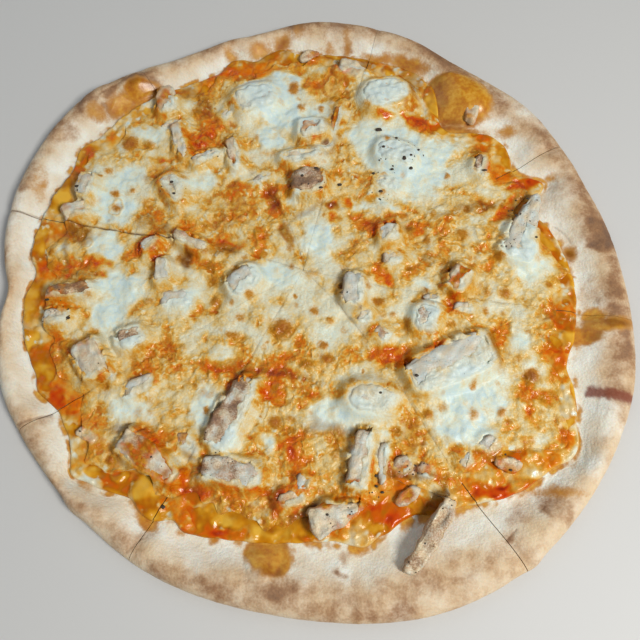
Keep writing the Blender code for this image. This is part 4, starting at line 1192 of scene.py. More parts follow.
# %% How each piece of chicken looks
# Length's direction, and from 0 to 1: cheese run over it, sauce stain, pepper, browning, grey
CHICKEN = {
    "top_left_chunk": (100, 0.15, 0.35, 0, 0.1, 0.2),
    "pale_strip": (-72, 0, 0.15, 0, 0.05, 0.3),
    "peppered_strip": (28, 0.1, 0.1, 0.5, 0.1, 0.6),
    "left_cube": (82, 0, 0.1, 0.5, 0.1, 0.6),
    "left_block": (15, 0, 0.3, 0.1, 0.05, 0.3),
    "grey_chunk": (-60, 0.5, 0.05, 0.9, 0.3, 0.9),
    "far_slab": (20, 1, 0, 0.2, 0.1, 0.8),
    "far_shred": (-75, 0.1, 0.4, 0.1, 0.4, 0.2),
    "far_chunk": (10, 0.4, 0.3, 0.1, 0.2, 0.3),
    "far_slice": (-30, 0.5, 0.1, 0, 0.1, 0.3),
    "far_mound": (10, 1, 0.05, 0, 0.1, 0.5),
    "long_mound": (12, 0.5, 0.1, 0.2, 0.15, 0.6),
    "pepper_ball": (10, 0, 0.3, 0.9, 0.9, 0.2),
    "pepper_chunk": (-20, 0.7, 0.05, 1, 0.1, 0.5),
    "charred_oval": (80, 0.4, 0, 0.3, 0.5, 0.5),
    "right_wedge": (68, 0.3, 0, 0.7, 0.05, 0.7),
    "lilac_corner": (40, 0.15, 0.05, 0.1, 0, 1),
    "white_block": (100, 0, 0, 0, 0, 0.6),
    "curled_strip": (-24, 0, 0.1, 0, 0.1, 0.4),
    "browned_roll": (10, 0, 0.6, 0.2, 1, 0),
    "left_end": (5, 0.3, 0.05, 0.8, 0.2, 0.8),
    "layered_piece": (-60, 0, 0.35, 0.1, 0, 0.3),
    "brown_lump": (20, 0.3, 0.05, 0.3, 0.5, 0.6),
    "middle_chunk": (40, 0.25, 0, 0.2, 0.1, 0.9),
    "small_cube": (12, 0.15, 0, 0.1, 0.05, 1),
    "upright_block": (84, 0.05, 0, 0.2, 0.1, 0.8),
    "right_cube": (70, 0.5, 0, 0, 0.05, 0.6),
    "sauced_block": (60, 0.1, 0.6, 0, 0.1, 0.3),
    "great_slab": (22, 0.35, 0, 0.4, 0.1, 0.8),
    "dark_slice": (64, 0.1, 0.05, 0.2, 0.8, 0.6),
    "lower_slab": (-12, 0.05, 0.1, 0.9, 0.5, 1),
    "lower_mound": (-10, 0.95, 0, 0.4, 0.1, 0.7),
    "lower_slice": (80, 0.1, 0.1, 0.1, 0.3, 0.5),
    "near_triangle": (20, 0, 0.15, 0.5, 0.2, 0.3),
    "rim_strip": (58, 0, 0.05, 0.7, 0.35, 0.2),
    "red_triangle": (-36, 0, 0.35, 0.2, 0.2, 0.3),
}

# Sauce and browning at places on the chicken: x, y, half length, half width, turn, strength
SAUCED_MEAT = (
    (12, -119, 15, 5, 20, 0.9), (-90, -102, 12, 6, -50, 0.7), (-84, -94, 6, 4, -36, 0.7),
    (88, 2, 6, 6, 0, 1), (-122, -42, 4, 10, 30, 0.6), (-100, 122, 5, 10, 0, 0.6),
    (-90, 118, 4, 4, 0, 0.5), (-52, 84, 3, 8, 0, 0.7), (-140, 45, 6, 4, 0, 0.4),
    (-2, 96, 6, 5, 0, 0.5), (14, 104, 4, 10, 0, 0.6), (-130, -5, 12, 5, 0, 0.6),
    (-64, -92, 7, 5, 0, 0.6), (48, -119, 6, 4, 40, 0.7), (-10, -122, 7, 4, 0, 0.7),
    (102, -106, 8, 4, 0, 0.8), (3, 58, 8, 4, 0, 0.4), (60, -106, 5, 4, 0, 0.5),
    (46, -104, 5, 4, 0, 0.5), (96, 102, 6, 4, -30, 0.6), (-84, 98, 6, 4, 20, 0.7),
)
BROWNED_MEAT = (
    (-138, -6, 14, 4, 10, 1.2), (-118, -50, 3, 8, 30, 0.25), (-100, -36, 9, 4, 0, 0.6),
    (4, 62, 10, 8, 0, 0.6), (102, 74, 5, 4, 0, 0.8), (62, -135, 5, 14, -35, 0.5),
    (50, -150, 5, 5, 0, 0.6), (-88, -94, 6, 4, -36, 0.7), (24, -90, 3, 6, 0, 0.4),
    (-80, 58, 5, 6, 0, 0.4), (60, -20, 3, 7, 10, 0.5), (-57, -84, 3, 12, 60, 0.5),
    (-44, -104, 10, 3, -10, 0.4), (46, 88, 6, 4, 0, 0.5), (-30, 124, 4, 4, 0, 0.4),
    (118, 30, 3, 5, 30, 0.1), (-75, 26, 6, 3, -25, 0.4), (-92, 24, 4, 3, 0, 0.5),
    (-84, -12, 5, 4, 0, 0.3), (-136, 60, 3, 5, 0, 0.3),
)

# %% The tree that cuts chicken
cut = Growth(
    "Cut chicken", Division="Int", Softening="Int", Grain_turn="Float", Fibre_length="Float",
    Fibre_width="Float", Fibre_depth="Float", Lump_length="Float", Lump_depth="Float",
    Seed="Float")
divided = cut.add("GeometryNodeSubdivideMesh", {
    "Mesh": cut.enter["Geometry"], "Level": cut.enter["Division"]})[0]
softened = cut.tree.nodes.new("GeometryNodeBlurAttribute")
softened.data_type = "FLOAT_VECTOR"
value = [socket.name == "Value" and socket.enabled for socket in softened.inputs].index(True)
cut.fill(softened, {value: cut.position(), "Iterations": cut.enter["Softening"], "Weight": 1.0})
soft_place = [socket for socket in softened.outputs if socket.enabled][0]
rounded = cut.add("GeometryNodeSetPosition", {"Geometry": divided, "Position": soft_place})[0]
along = cut.add("ShaderNodeVectorRotate", {
    "Vector": cut.position(), "Angle": cut.times(cut.enter["Grain turn"], -1.0),
}, rotation_type="Z_AXIS")[0]
width = cut.enter["Fibre width"]
cell = cut.add("ShaderNodeCombineXYZ", {0: cut.enter["Fibre length"], 1: width, 2: width})[0]
scaled = cut.add("ShaderNodeVectorMath", {0: along, 1: cell}, operation="DIVIDE")[0]
fibre = cut.relief(scaled, "Fibre depth", Scale=1.0, Detail=2.0, Roughness=0.6)
lump = cut.relief(along, "Lump depth", Scale=cut.one_per("Lump length"), Detail=1.0)
raised = cut.pushed(rounded, cut.plus(fibre, lump))
cut.leave(cut.add("GeometryNodeSetShadeSmooth", {"Geometry": raised})[0])

# %% [markdown]
# ### A finish for chicken
#
# Cut breast is a greyish white, a little pink or tan, with a wet shine. Sauce has crept up its
# foot, pepper sticks to the top, and the edges on the side away from the light are brown, partly
# from the heat and partly as painted shade. Each piece holds its own share of these as
# attributes, so one finish serves them all.


# %% The chicken's finish
MEAT_WARM = screen(226, 213, 184)
MEAT_GREY = screen(204, 211, 206)
MEAT_TAN = screen(194, 164, 118)
MEAT_BROWN_EDGE_AND_SHADE = screen(126, 82, 40)
PEPPER = screen(44, 38, 36)
CORNS_PER_METRE = 620.0

meat_finish, t = new_material("roast_chicken")
fine = t.use(grain, Size=0.0009, Detail=4.0)
broad = t.use(grain, Size=0.0028, Detail=3.0)
colour = t.mix(t.read("grey"), MEAT_WARM, MEAT_GREY)
streaks = t.scaled(broad["Value"], 0.2, t.times(t.read("streak"), 0.35))
colour = t.mix(streaks, colour, MEAT_TAN)
# Darker brown at the edge away from the light: partly browned, partly painted shade
colour = t.mix(t.times(t.read("edge"), 0.6), colour, MEAT_BROWN_EDGE_AND_SHADE)
browned = t.plus(t.read("brown"), t.scaled(fine["Value"], 0.4, -0.25))
brown = t.use(oven_brown, Toast=browned)
colour = t.mix(t.times(brown["Cover"], 0.8), colour, brown["Color"])
wet = t.use(hot_sauce, Red=0.45, Oil=0.2, Mottle=broad["Value"])["Color"]
stain = t.plus(t.read("stain"), t.scaled(broad["Blotches"], 0.5, -0.3))
colour = t.mix(t.between(stain, 0.1, 0.8), colour, wet)
corns = {"Vector": t.place(), "Scale": CORNS_PER_METRE}
corns = t.between(t.add("ShaderNodeTexVoronoi", corns)["Distance"], 0.16, 0.3, 1.0, 0.0)
few = t.between(fine["Blotches"], 0.5, 0.7)
t.surface({
    "Base Color": t.mix(t.times(t.times(corns, t.read("pepper")), few), colour, PEPPER),
    "Roughness": t.between(fine["Value"], 0.0, 1.0, 0.3, 0.5),
    "Normal": t.bump(fine["Value"], 0.4, 0.0004),
    "Specular IOR Level": 0.4, "Subsurface Weight": 0.1,
    "Subsurface Radius": (1.0, 0.5, 0.35), "Subsurface Scale": 0.0015,
})

# %% Pieces of chicken
# The way that shadows fall, seen from above
AWAY_SIDE = (-0.75, 0.66)
SAME_CORNER = 1e-5
UNREACHED = 1e9
FIRST_SCRAP_SEED = 40.0
LOOKS = ("stain", "pepper", "brown", "grey", "streak", "edge")


def merged_copy(name):
    """A new object with a merged copy of a solid's mesh."""
    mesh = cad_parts[f"chicken_{name}"].data.copy()
    mesh.name = f"meat_{name}"
    mesh.materials.clear()
    shape = bmesh.new()
    shape.from_mesh(mesh)
    bmesh.ops.remove_doubles(shape, verts=shape.verts, dist=SAME_CORNER)
    shape.to_mesh(mesh)
    shape.free()
    return linked(mesh.name, mesh)


def convex_outline(places):
    """The convex outline of flat points, anticlockwise."""
    places = sorted(set(map(tuple, np.round(places, 3))))

    def turns_right(a, b, c):
        return (b[0] - a[0]) * (c[1] - a[1]) - (b[1] - a[1]) * (c[0] - a[0]) <= 0

    def half(run):
        kept = []
        for place in run:
            while len(kept) > 1 and turns_right(*kept[-2:], place):
                kept.pop()
            kept.append(place)
        return kept[:-1]

    return half(places) + half(places[::-1])


def outline_distance(x, y, outline):
    """Distance from a convex outline, negative inside, and how far its side faces away."""
    nearest, deepest = np.full_like(x, UNREACHED), np.full_like(x, -UNREACHED)
    facing = np.zeros_like(x)
    for (ax, ay), (bx, by) in zip(outline, outline[1:] + outline[:1]):
        length = math.hypot(bx - ax, by - ay)
        ux, uy = (bx - ax) / length, (by - ay) / length
        along = np.clip((x - ax) * ux + (y - ay) * uy, 0, length)
        away = np.hypot(x - ax - along * ux, y - ay - along * uy)
        closer = away < nearest
        nearest[closer] = away[closer]
        facing[closer] = uy * AWAY_SIDE[0] - ux * AWAY_SIDE[1]
        deepest = np.maximum(deepest, (x - ax) * uy - (y - ay) * ux)
    return np.where(deepest < 0, -nearest, nearest), facing


def mesh_places(piece):
    """Corners of a finished piece, in the millimetres of the pizza."""
    places = np.zeros(len(piece.data.vertices) * 3)
    piece.data.vertices.foreach_get("co", places)
    return places.reshape(-1, 3) / MM + (*MIDDLE, 0.0)


def cut_chicken(piece, turn, seed, look, division=3):
    """Fibres, soft edges and the attributes of a piece whose plain mesh is in place."""
    _, stain, pepper, brown, grey = look
    grown(piece, cut, {
        "Division": division, "Softening": 2, "Grain turn": math.radians(turn),
        "Fibre length": 0.009, "Fibre width": 0.0022, "Fibre depth": 0.0012,
        "Lump length": 0.0056, "Lump depth": 0.0050, "Seed": seed, "Finish": meat_finish,
    })
    x, y, z = mesh_places(piece).T
    height = (z - z.min()) / (z.max() - z.min())
    uneven = lumps(x, y, 5.0, seed + 81.0)
    patches = lumps(x, y, 6.0, seed + 85.0)
    along, across = along_and_across(x, y, 0.0, 0.0, turn)
    away, facing = outline_distance(x, y, convex_outline(np.column_stack([x, y])))
    from_below = 0.9 * rise(-height, -0.45, -0.05)
    stained = spots(*warped(x, y, 1.5, 5.0, 89.0), SAUCED_MEAT, 2.5)
    browned = spots(*warped(x, y, 1.5, 5.0, 90.0), BROWNED_MEAT, 2.5)
    values = (
        np.maximum(stain * (0.7 + 0.9 * uneven) + from_below, stained),
        pepper * (0.5 + lumps(x, y, 8.0, seed + 83.0)),
        np.maximum(brown * (0.6 + 0.9 * patches), browned),
        grey + 0.1 + 0.8 * uneven,
        0.25 + 0.7 * lumps(along / 3.0, across, 3.0, seed + 87.0),
        # The edge on the side away from the light: partly browned, partly painted shade
        rise(away, -1.8, -0.1) * rise(facing, -0.3, 0.8),
    )
    for key, value in zip(LOOKS, values):
        write_values(piece.data, key, np.clip(value, 0, 1))
    return piece


meat = []
for seed, (name, (turn, *look)) in enumerate(CHICKEN.items()):
    piece = cut_chicken(merged_copy(name), turn, float(seed), look)
    meat.append((keep(piece, "chicken", f"chicken_{name}"), look[0]))
report("chicken:", (piece for piece, _ in meat))

# %% [markdown]
# ### Scraps of chicken
#
# Between the large pieces lie torn scraps, half sunk in the cheese. Each starts as a few rings
# of points on a rounded box, and then goes through the same tree as the large pieces. Their
# meshes are put together into one piece at the end, after the cheese has run around them.

# %% Scraps: x, y, length, width, top, turn, and the look of a piece of chicken
SCRAPS = (
    (8, 85.5, 12, 6, 9, 10, (0.1, 0.1, 0.3, 0.2, 0.5)),
    (45, 60, 16, 10, 9.2, -20, (0.5, 0, 0.6, 0.1, 0.8)),
    (14.5, 104, 24, 6, 8.6, 80, (0.1, 0.4, 0.1, 0.3, 0.2)),
    (-75, -13, 19, 12, 9.1, 5, (0.3, 0, 0.1, 0.1, 0.6)),
    (46, 12, 12, 10, 9, 0, (0.1, 0.2, 0.1, 0.4, 0.4)),
    (29, -23, 9, 8, 9.2, 0, (0.1, 0, 0.1, 0.1, 0.7)),
    (39, -33, 11, 8, 9.2, -30, (0.1, 0.2, 0.2, 0.3, 0.3)),
    (84, -18, 12, 7, 9, -8, (0.1, 0.1, 0, 0.1, 0.8)),
    (-92, -62, 18, 10, 9.3, 32, (0.2, 0.1, 0.1, 0.1, 0.7)),
    (36.5, -103, 23, 6, 9.6, 86, (0, 0, 0.3, 0.1, 0.9)),
    (46.5, -104, 11, 9, 9.2, 40, (0, 0.1, 0.6, 0.4, 0.4)),
    (59, -106, 10, 9, 9.2, 0, (0, 0.1, 0.6, 0.3, 0.5)),
    (-10, -120, 15, 9, 9, 15, (0.1, 0.5, 0.1, 0.3, 0.2)),
    (80, -101, 9, 7, 8.8, 30, (0.1, 0.1, 0.2, 0.1, 0.8)),
    (92, -93, 11, 9, 9, 20, (0.2, 0.1, 0.2, 0.1, 0.7)),
    (-2, 152, 14, 7, 8.2, 20, (0.2, 0.5, 0.1, 0.4, 0.1)),
    (97, 109, 17, 9, 12.4, 80, (0, 0.35, 0.1, 0.1, 0.1)),
    (66, -13, 12, 7, 9, 0, (0.1, 0.1, 0, 0.2, 0.7)),
    (-109, -52, 15, 4, 9.6, -60, (0, 0, 0, 0, 1)),
    (49, -119, 15, 7, 9, 40, (0, 0.3, 0.2, 0.3, 0.3)),
    (-4, -112, 9, 8, 9.4, 70, (0, 0, 0, 0, 0.5)),
    (-64, -93, 16, 8, 8.8, -35, (0.2, 0.2, 0.1, 0.3, 0.4)),
    (101, -103, 15, 8, 8.8, -10, (0.2, 0.5, 0.1, 0.3, 0.1)),
    (-86, 99, 14, 7, 9, 25, (0.3, 0.3, 0.1, 0.2, 0.3)),
    (-30, 63, 13, 7, 8.8, 40, (0.3, 0.2, 0.2, 0.2, 0.5)),
    (-117, -88, 13, 7, 8.6, -30, (0.3, 0.3, 0.1, 0.3, 0.2)),
    (-52, 108, 12, 6, 8.6, 60, (0.4, 0.2, 0, 0.1, 0.4)),
)

# %% Make the scraps
SCRAP_RINGS = ((0.0, 0.88), (0.3, 1.0), (0.7, 0.95), (1.0, 0.72))
SCRAP_SIDES = 12
SCRAP_FOOT = CHEESE_BOTTOM + 0.4
SQUARENESS = 0.7


def scrap_piece(number, at_x, at_y, length, width, top, turn):
    """A rounded box of rings, from under the cheese to its own top."""
    c, s = math.cos(math.radians(turn)), math.sin(math.radians(turn))
    starts = range(0, SCRAP_SIDES * len(SCRAP_RINGS), SCRAP_SIDES)
    rows = [list(range(start, start + SCRAP_SIDES)) for start in starts]
    corners, faces = [], []
    for share, size in SCRAP_RINGS:
        for k in range(SCRAP_SIDES):
            angle = 2 * math.pi * (k + 0.5) / SCRAP_SIDES
            unit = (math.cos(angle), math.sin(angle))
            unit = [math.copysign(abs(v) ** SQUARENESS, v) for v in unit]
            wobble = size * (1.0 + 0.16 * noise.noise((3.1 * number, 1.7 * k, 0.4)))
            px, py = 0.5 * length * unit[0] * wobble, 0.5 * width * unit[1] * wobble
            z = SCRAP_FOOT + (top - SCRAP_FOOT) * share
            corners.append((at_x + px * c - py * s, at_y + px * s + py * c, z))
    for lower, upper in zip(rows, rows[1:]):
        faces += zip(lower, lower[1:] + lower[:1], upper[1:] + upper[:1], upper)
    for row, z in ((rows[0], SCRAP_FOOT), (rows[-1], top)):
        middle = len(corners)
        corners.append((at_x, at_y, z))
        for a, b in zip(row, row[1:] + row[:1]):
            faces.append((b, a, middle) if row is rows[0] else (a, b, middle))
    return mesh_piece(f"scrap_{number}", corners, faces, meat_finish)


scraps = []
for number, (*form, turn, look) in enumerate(SCRAPS):
    piece = scrap_piece(number, *form, turn)
    scraps.append((cut_chicken(piece, turn, number + FIRST_SCRAP_SEED, look, 2), look[0]))
report("scraps:", (piece for piece, _ in scraps))

# %% [markdown]
# ## The cheese
#
# The cheese is the main surface. It is built in three steps on arrays: where the chicken
# stands and how high, then how milky, browned, red and oily each point is, and last the
# height, which follows from both. Melted cheese climbs the side of a piece of chicken that
# faces down the light and draws back from the other, and it lies as a film over some pieces.


# %% Where the chicken stands in the cheese
CLIMB_WIDTH = 2.4
NEAR_CHICKEN = 9.0
FILM = 0.45
SHOULDER_SHARE = 0.7
LOOK_FROM = 0.05
DOWN = Vector((0, 0, -1))

draped = []
for piece, covered in meat + scraps:
    places = mesh_places(piece)
    corners = [vertex.co for vertex in piece.data.vertices]
    solid = BVHTree.FromPolygons(corners, [tuple(face.vertices) for face in piece.data.polygons])
    low, high = places.min(axis=0), places.max(axis=0)
    draped.append((covered, low, high, convex_outline(places[:, :2]), solid))


def tops_below(solid, x, y, wanted):
    """Height of a solid under each wanted point, and -1 where there is none."""
    top = np.full(len(x), -1.0)
    for at in np.nonzero(wanted)[0]:
        start = Vector(((x[at] - MIDDLE[0]) * MM, (y[at] - MIDDLE[1]) * MM, LOOK_FROM))
        hit = solid.ray_cast(start, DOWN)[0]
        if hit:
            top[at] = hit.z / MM
    return top


def cheese_over_chicken(x, y, height):
    """The cheese's height where it climbs and covers chicken, and the masks that come of it."""
    height = height.copy()
    film, shadow_gap, shore = (np.zeros_like(x) for _ in range(3))
    for covered, low, high, outline, solid in draped:
        near = (x > low[0] - NEAR_CHICKEN) & (x < high[0] + NEAR_CHICKEN)
        near &= (y > low[1] - NEAR_CHICKEN) & (y < high[1] + NEAR_CHICKEN)
        near = np.nonzero(near)[0]
        if not len(near):
            continue
        nx, ny, here = x[near], y[near], height[near]
        away, facing = outline_distance(nx, ny, outline)
        outside = np.maximum(away, 0)
        creep = -2.6 * facing + 0.4 + 26.0 * covered * (0.55 - 0.45 * facing * (1.15 - covered))
        creep += 2.4 * lumps(nx, ny, 6.0, 141.0) + 1.0 * lumps(nx, ny, 2.5, 143.0)
        top = tops_below(solid, nx, ny, away < 0.3)
        shoulder = low[2] + SHOULDER_SHARE * (high[2] - low[2]) + FILM
        climb = np.maximum(0.0, shoulder - here) * (0.12 + 0.88 * rise(creep, -2.4, 0.2))
        climb *= bell(outside, CLIMB_WIDTH + 2.2 * covered)
        over = rise(creep + away, -2.0, 1.6)
        beneath = np.minimum(here + climb, top - 0.3 + 9.0 * rise(away, -3.0, -0.8))
        bumps = 0.2 * lumps(nx, ny, 3.0, 145.0) + 0.6 * covered * lumps(nx, ny, 6.0, 147.0)
        lifted = beneath + np.maximum(top + FILM + bumps - beneath, 0.0) * over
        height[near] = np.where(top > 0, lifted, here + climb)
        masks = (
            (film, np.where(top > 0, over * rise(-away, -1.0, 2.5), 0.0)),
            # Painted shadow on the cheese at the foot of a piece, on the side away from the light
            (shadow_gap, bell(outside, 1.3) * rise(-creep, 1.4, 3.4)),
            (shore, bell(away - 1.6, 1.8) * rise(-creep, -1.5, 1.5)),
        )
        for mask, value in masks:
            mask[near] = np.maximum(mask[near], value)
    return height, film, shadow_gap, shore


# %% How far the sauce comes through, and the blisters
SPOT_COUNT = 480
# Lowest and highest x, y, size and strength of the spots
SPOT_RANGES = ((-150, -150, 1.0, 0.2), (150, 150, 3.0, 0.6))
SPOT_ROOM = 5
BLISTER_ROOM = 2.6
BLISTER_TALL = 0.6
small_spots = np.random.default_rng(7).uniform(*SPOT_RANGES, (SPOT_COUNT, 4))


def blister_fields(x, y):
    """Height and browning of the blisters, each a low dome that is darkest on top."""
    height, brown = np.zeros_like(x), np.zeros_like(x)
    wx, wy = warped(x, y, 0.9, 5.0, 91.0)
    for at_x, at_y, half_length, half_width, dark in BLISTERS:
        share = np.hypot((wx - at_x) / half_length, (wy - at_y) / half_width)
        near = share < BLISTER_ROOM
        brown[near] = np.maximum(brown[near], dark * rise(-share[near], -2.0, -0.1))
        height[near] = np.maximum(height[near], BLISTER_TALL * rise(-share[near], -1.3, -0.1))
    return height, brown


def golden_spots(x, y):
    """The many small places where the cheese began to brown."""
    found = np.zeros_like(x)
    for at_x, at_y, size, strength in small_spots:
        near = (abs(x - at_x) < SPOT_ROOM) & (abs(y - at_y) < SPOT_ROOM)
        if near.any():
            share = np.hypot(x[near] - at_x, y[near] - at_y) / size
            found[near] = np.maximum(found[near], strength * rise(-share, -1.5, -0.3))
    return found


def curd_fields(x, y):
    """Coarse and fine curds, from 0 to 1."""
    coarse = pebbles(*warped(x, y, 1.2, 6.0, 15.0), 5.2, 103.0)
    shift_x, shift_y = (0.8 * lumps(x, y, 3.0, level) for level in (16.0, 17.0))
    return coarse, pebbles(x + shift_x, y + shift_y, 2.6, 105.0)


def cheese_fields(x, y):
    """Masks from 0 to 1 that the cheese's height and finish are read from."""
    wx, wy = warped(x, y)
    curds, fine_curds = curd_fields(x, y)
    heat = stretch_level(x + 5 * lumps(x, y, 18.0, 99.0), y + 5 * lumps(x, y, 18.0, 98.0))
    heat += net_noise(x, y)
    grainy = rise(heat, 0.28, 0.55)
    # Pale threads and curd tops, darker valleys: partly the cheese and sauce themselves, partly
    # painted highlight and shade
    threads = grainy * rise(0.14 - abs(lumps(wx, wy, 4.6, 117.0)), -0.12, 0.1)
    curdled = grainy * (0.18 * (0.5 - curds) + 0.06 * (0.5 - fine_curds))
    heat = calmed(heat + curdled - 0.12 * threads)
    heat -= 0.26 * grainy * islands(x, y, 3.2, 155.0)
    # A soft floor, so that no point is colder than the palest cheese
    heat = 0.5 * (heat + 0.2 + np.sqrt((heat - 0.2) ** 2 + 0.005))
    milk = spots(*warped(x, y, 3.2, 10.0, 13.0), MILK, 3.4)
    pool = 0.08 + 0.12 * lumps(x, y, 7.0, 104.0) + 0.08 * lumps(wx, wy, 3.0, 108.0)
    heat = heat * (1 - milk) + milk * np.clip(pool, 0, 1)
    red = spots(wx, wy, RED, 2.2)
    heat = heat + red * (np.maximum(heat, 0.78 + 0.2 * lumps(wx, wy, 4.0, 107.0)) - heat)
    oil = np.maximum(spots(wx, wy, OIL, 2.2), strokes(wx, wy, OIL_STROKES, 1.8))
    oozing = 0.9 * rise(lumps(x, y, 7.0, 109.0), 0.3, 0.8) * rise(heat, 0.35, 0.6)
    oil = np.clip(np.maximum(oil, oozing) * (1 - milk) * (1 - 0.8 * red), 0, 1)
    swell, brown = blister_fields(x, y)
    golden = golden_spots(*warped(x, y, 0.8, 5.0, 92.0))
    curd = (1 - milk) * (0.45 + 0.55 * grainy) * (1.6 * curds + 0.6 * fine_curds - 0.9)
    curd += (1 - milk) * (0.5 * lumps(x, y, 9.0, 114.0) + 0.3 * threads)
    curd += milk * (0.8 * lumps(x, y, 6.5, 112.0) + 0.22 * lumps(x, y, 2.6, 113.0))
    # Painted shade in the valleys between the curds
    valley_shade = (1 - milk) * (rise(0.4 - curds, 0.1, 0.4) + 0.5 * rise(0.4 - fine_curds, 0.1, 0.4))
    ringed = ring_marks(wx, wy)
    heat += (0.5 - heat) * 0.5 * ringed
    return {
        "heat": np.clip(heat, 0, 1), "oil": oil, "milk": milk, "swell": swell,
        "brown": np.maximum(brown, golden * (1 - 0.5 * milk)), "curd": curd + 0.55 * ringed,
        "valley_shade": valley_shade * rise(heat, 0.34, 0.62),
    }


# %% [markdown]
# ### A finish for melted cheese
#
# Four looks share one surface: milky pools with a faint blue, a beige and orange net where
# cheese and sauce have mixed, bare sauce, and golden oil. The masks choose between them, grain
# breaks up their borders, and the blisters' brown lies over all. Cheese that is only a film
# over meat takes some of the meat's grey.


# %% The cheese's finish
# Caramel brown, also used for painted shade
CHEESE_BROWN_AND_SHADE = screen(112, 60, 6)
BLISTER_GOLD = screen(208, 156, 34)
BLISTER_BROWN = screen(166, 94, 0)

cheese_finish, t = new_material("melted_cheese")
fine = t.use(grain, Size=0.0012, Detail=2.5)["Value"]
broad = t.use(grain, Size=0.0035, Detail=3.0)["Value"]
heat, oil, milk = t.read("through"), t.read("oil"), t.read("milk")
plain = t.use(through_cheese, Heat=heat, Mottle=fine)["Color"]
wet = t.use(hot_sauce, Red=heat, Oil=oil, Mottle=broad)["Color"]
oily = t.between(t.plus(oil, t.scaled(broad, 0.3, -0.15)), 0.1, 1.0, 0.0, 0.85)
colour = t.mix(t.read("veil"), t.mix(oily, plain, wet), MEAT_GREY)
browned = t.times(t.read("brown"), t.between(fine, 0.0, 1.0, 0.8, 1.1))
toast = t.mix(browned, BLISTER_GOLD, BLISTER_BROWN)
colour = t.mix(t.between(browned, 0.0, 0.6, 0.0, 0.95), colour, toast)
height = t.times(fine, t.between(milk, 0.0, 1.0, 1.0, 0.35))
t.surface({
    # Caramel-brown marks, and painted shade beside the chicken, in the cuts and between the curds
    "Base Color": t.mix(t.read("brown_and_shade"), colour, CHEESE_BROWN_AND_SHADE),
    "Roughness": t.between(t.sums("MAXIMUM", oily, heat), 0.2, 0.9, 0.4, 0.24),
    "Coat Weight": t.between(heat, 0.3, 0.65, 0.0, 0.4), "Coat Roughness": 0.16,
    "Normal": t.bump(height, 0.35, 0.0005),
    "Specular IOR Level": 0.25, "Subsurface Weight": 0.06,
    "Subsurface Radius": (1.0, 0.7, 0.4), "Subsurface Scale": 0.0015,
})

# %% Where pepper lies on the cheese
PEPPERED = (
    (52, 76, 14, 11, 0, 1), (42, 57, 8, 9, 0, 0.7), (0, 60, 9, 8, 0, 0.6), (-81, 54, 7, 6, 0, 0.7),
    (-137, 52, 6, 6, 0, 0.5), (120, 40, 6, 10, 0, 0.6), (36, -66, 7, 6, 0, 0.5),
    (34, -113, 5, 6, 0, 0.8), (55, -58, 6, 5, 0, 0.4), (101, -102, 8, 5, 0, 0.5),
    (-136, -22, 6, 6, 0, 0.6), (-47, -103, 8, 6, 0, 0.6), (8, -128, 6, 5, 0, 0.6),
    (50, -104, 7, 5, 0, 0.7), (-64, 76, 7, 5, 0, 0.4), (125, 24, 6, 8, 0, 0.3),
)

# %% Eight wedges of cheese
CHEESE_STEP = 0.5
CHEESE_HALVED_AT = (0.5, 0.75)
CHEESE_GAP = 0.08
CHEESE_TIP = 0.3
FINE_WANDER = 2.2
OPEN_CUTS = (4,)
LOWEST_CHEESE = 0.35
BLENDED_WITH_RING = 14.0


def cheese_edge(angle):
    """The cheese's edge: the solids' line, with smaller lobes of melted cheese."""
    wander = np.sin(np.radians(43 * angle + 10)) * np.sin(np.radians(31 * angle))
    wander += 0.5 * np.sin(np.radians(71 * angle)) * np.sin(np.radians(29 * angle + 50))
    return cheese_reach(angle) - CLEAR + FINE_WANDER * wander


def seams(x, y):
    """Where a cut shows as a dent in the cheese, and where it stands open."""
    seam = bell(cut_distance(x, y), 0.9) * np.clip(0.2 + 0.8 * lumps(x, y, 14.0, 131.0), 0, 1)
    gape = bell(cut_distance(x, y, OPEN_CUTS), 0.55) * rise(np.hypot(x, y), 55.0, 75.0)
    return seam, gape * np.clip(0.9 + 0.5 * lumps(x, y, 9.0, 133.0), 0, 1)


def cheese_surface(x, y):
    """Height of the cheese and the attributes of its finish."""
    radius, angle = polar(x, y)
    masks = cheese_fields(x, y)
    heat, oil, milk = (masks[key] for key in ("heat", "oil", "milk"))
    from_edge = cheese_edge(angle) - radius
    full = CHEESE_THICK + unevenness(x, y, CHEESE_LUMPS) - CHEESE_EDGE
    edge = np.clip(from_edge / CHEESE_EDGE_WIDTH, 0.0, 1.0)
    height = CHEESE_EDGE + full * np.sin(edge * np.pi / 2) + masks["swell"] + masks["curd"]
    height += 0.35 * milk + 0.8 * (0.45 - heat) * (1 - milk) - 0.3 * oil
    height = CHEESE_BOTTOM + np.maximum(height, LOWEST_CHEESE)
    height, film, shadow_gap, shore = cheese_over_chicken(x, y, height)
    seam, gape = seams(x, y)
    height -= 0.6 * np.maximum(seam, 1.6 * gape)
    heat = heat * (1 - 0.45 * film) + 0.14 * shore
    last = np.nonzero(from_edge < BLENDED_WITH_RING)[0]
    outward = 3.0 * lumps(x[last], y[last], 7.0, 135.0) - from_edge[last]
    blend = rise(outward, -10.0, -1.0)
    for mine, ring in zip((heat, oil), bare_sauce(x[last], y[last])):
        mine[last] += blend * (ring - mine[last])
    # Painted shade between the curds, with the marks of caramel brown and painted shade
    shade_and_brown_marks = 0.22 * masks["valley_shade"] + 0.8 * spots(*warped(x, y), BROWN_AND_SHADE_MARKS, 2.0)
    # Painted shade along the cuts, strongest where a cut stands open, and painted shadow beside the
    # chicken
    brown_and_shade = np.maximum(0.85 * shadow_gap, np.maximum(0.25 * seam, 0.75 * gape)) + shade_and_brown_marks * (1 - film)
    values = {
        "through": np.clip(heat, 0, 1), "oil": oil * (1 - film), "milk": milk,
        "brown": masks["brown"] * (1 - 0.7 * film), "brown_and_shade": np.clip(brown_and_shade, 0, 1),
        "veil": 0.4 * film, "pepper": spots(x, y, PEPPERED, 3.0) * (1 - film),
    }
    return np.maximum(height, CHEESE_BOTTOM + 0.1), values


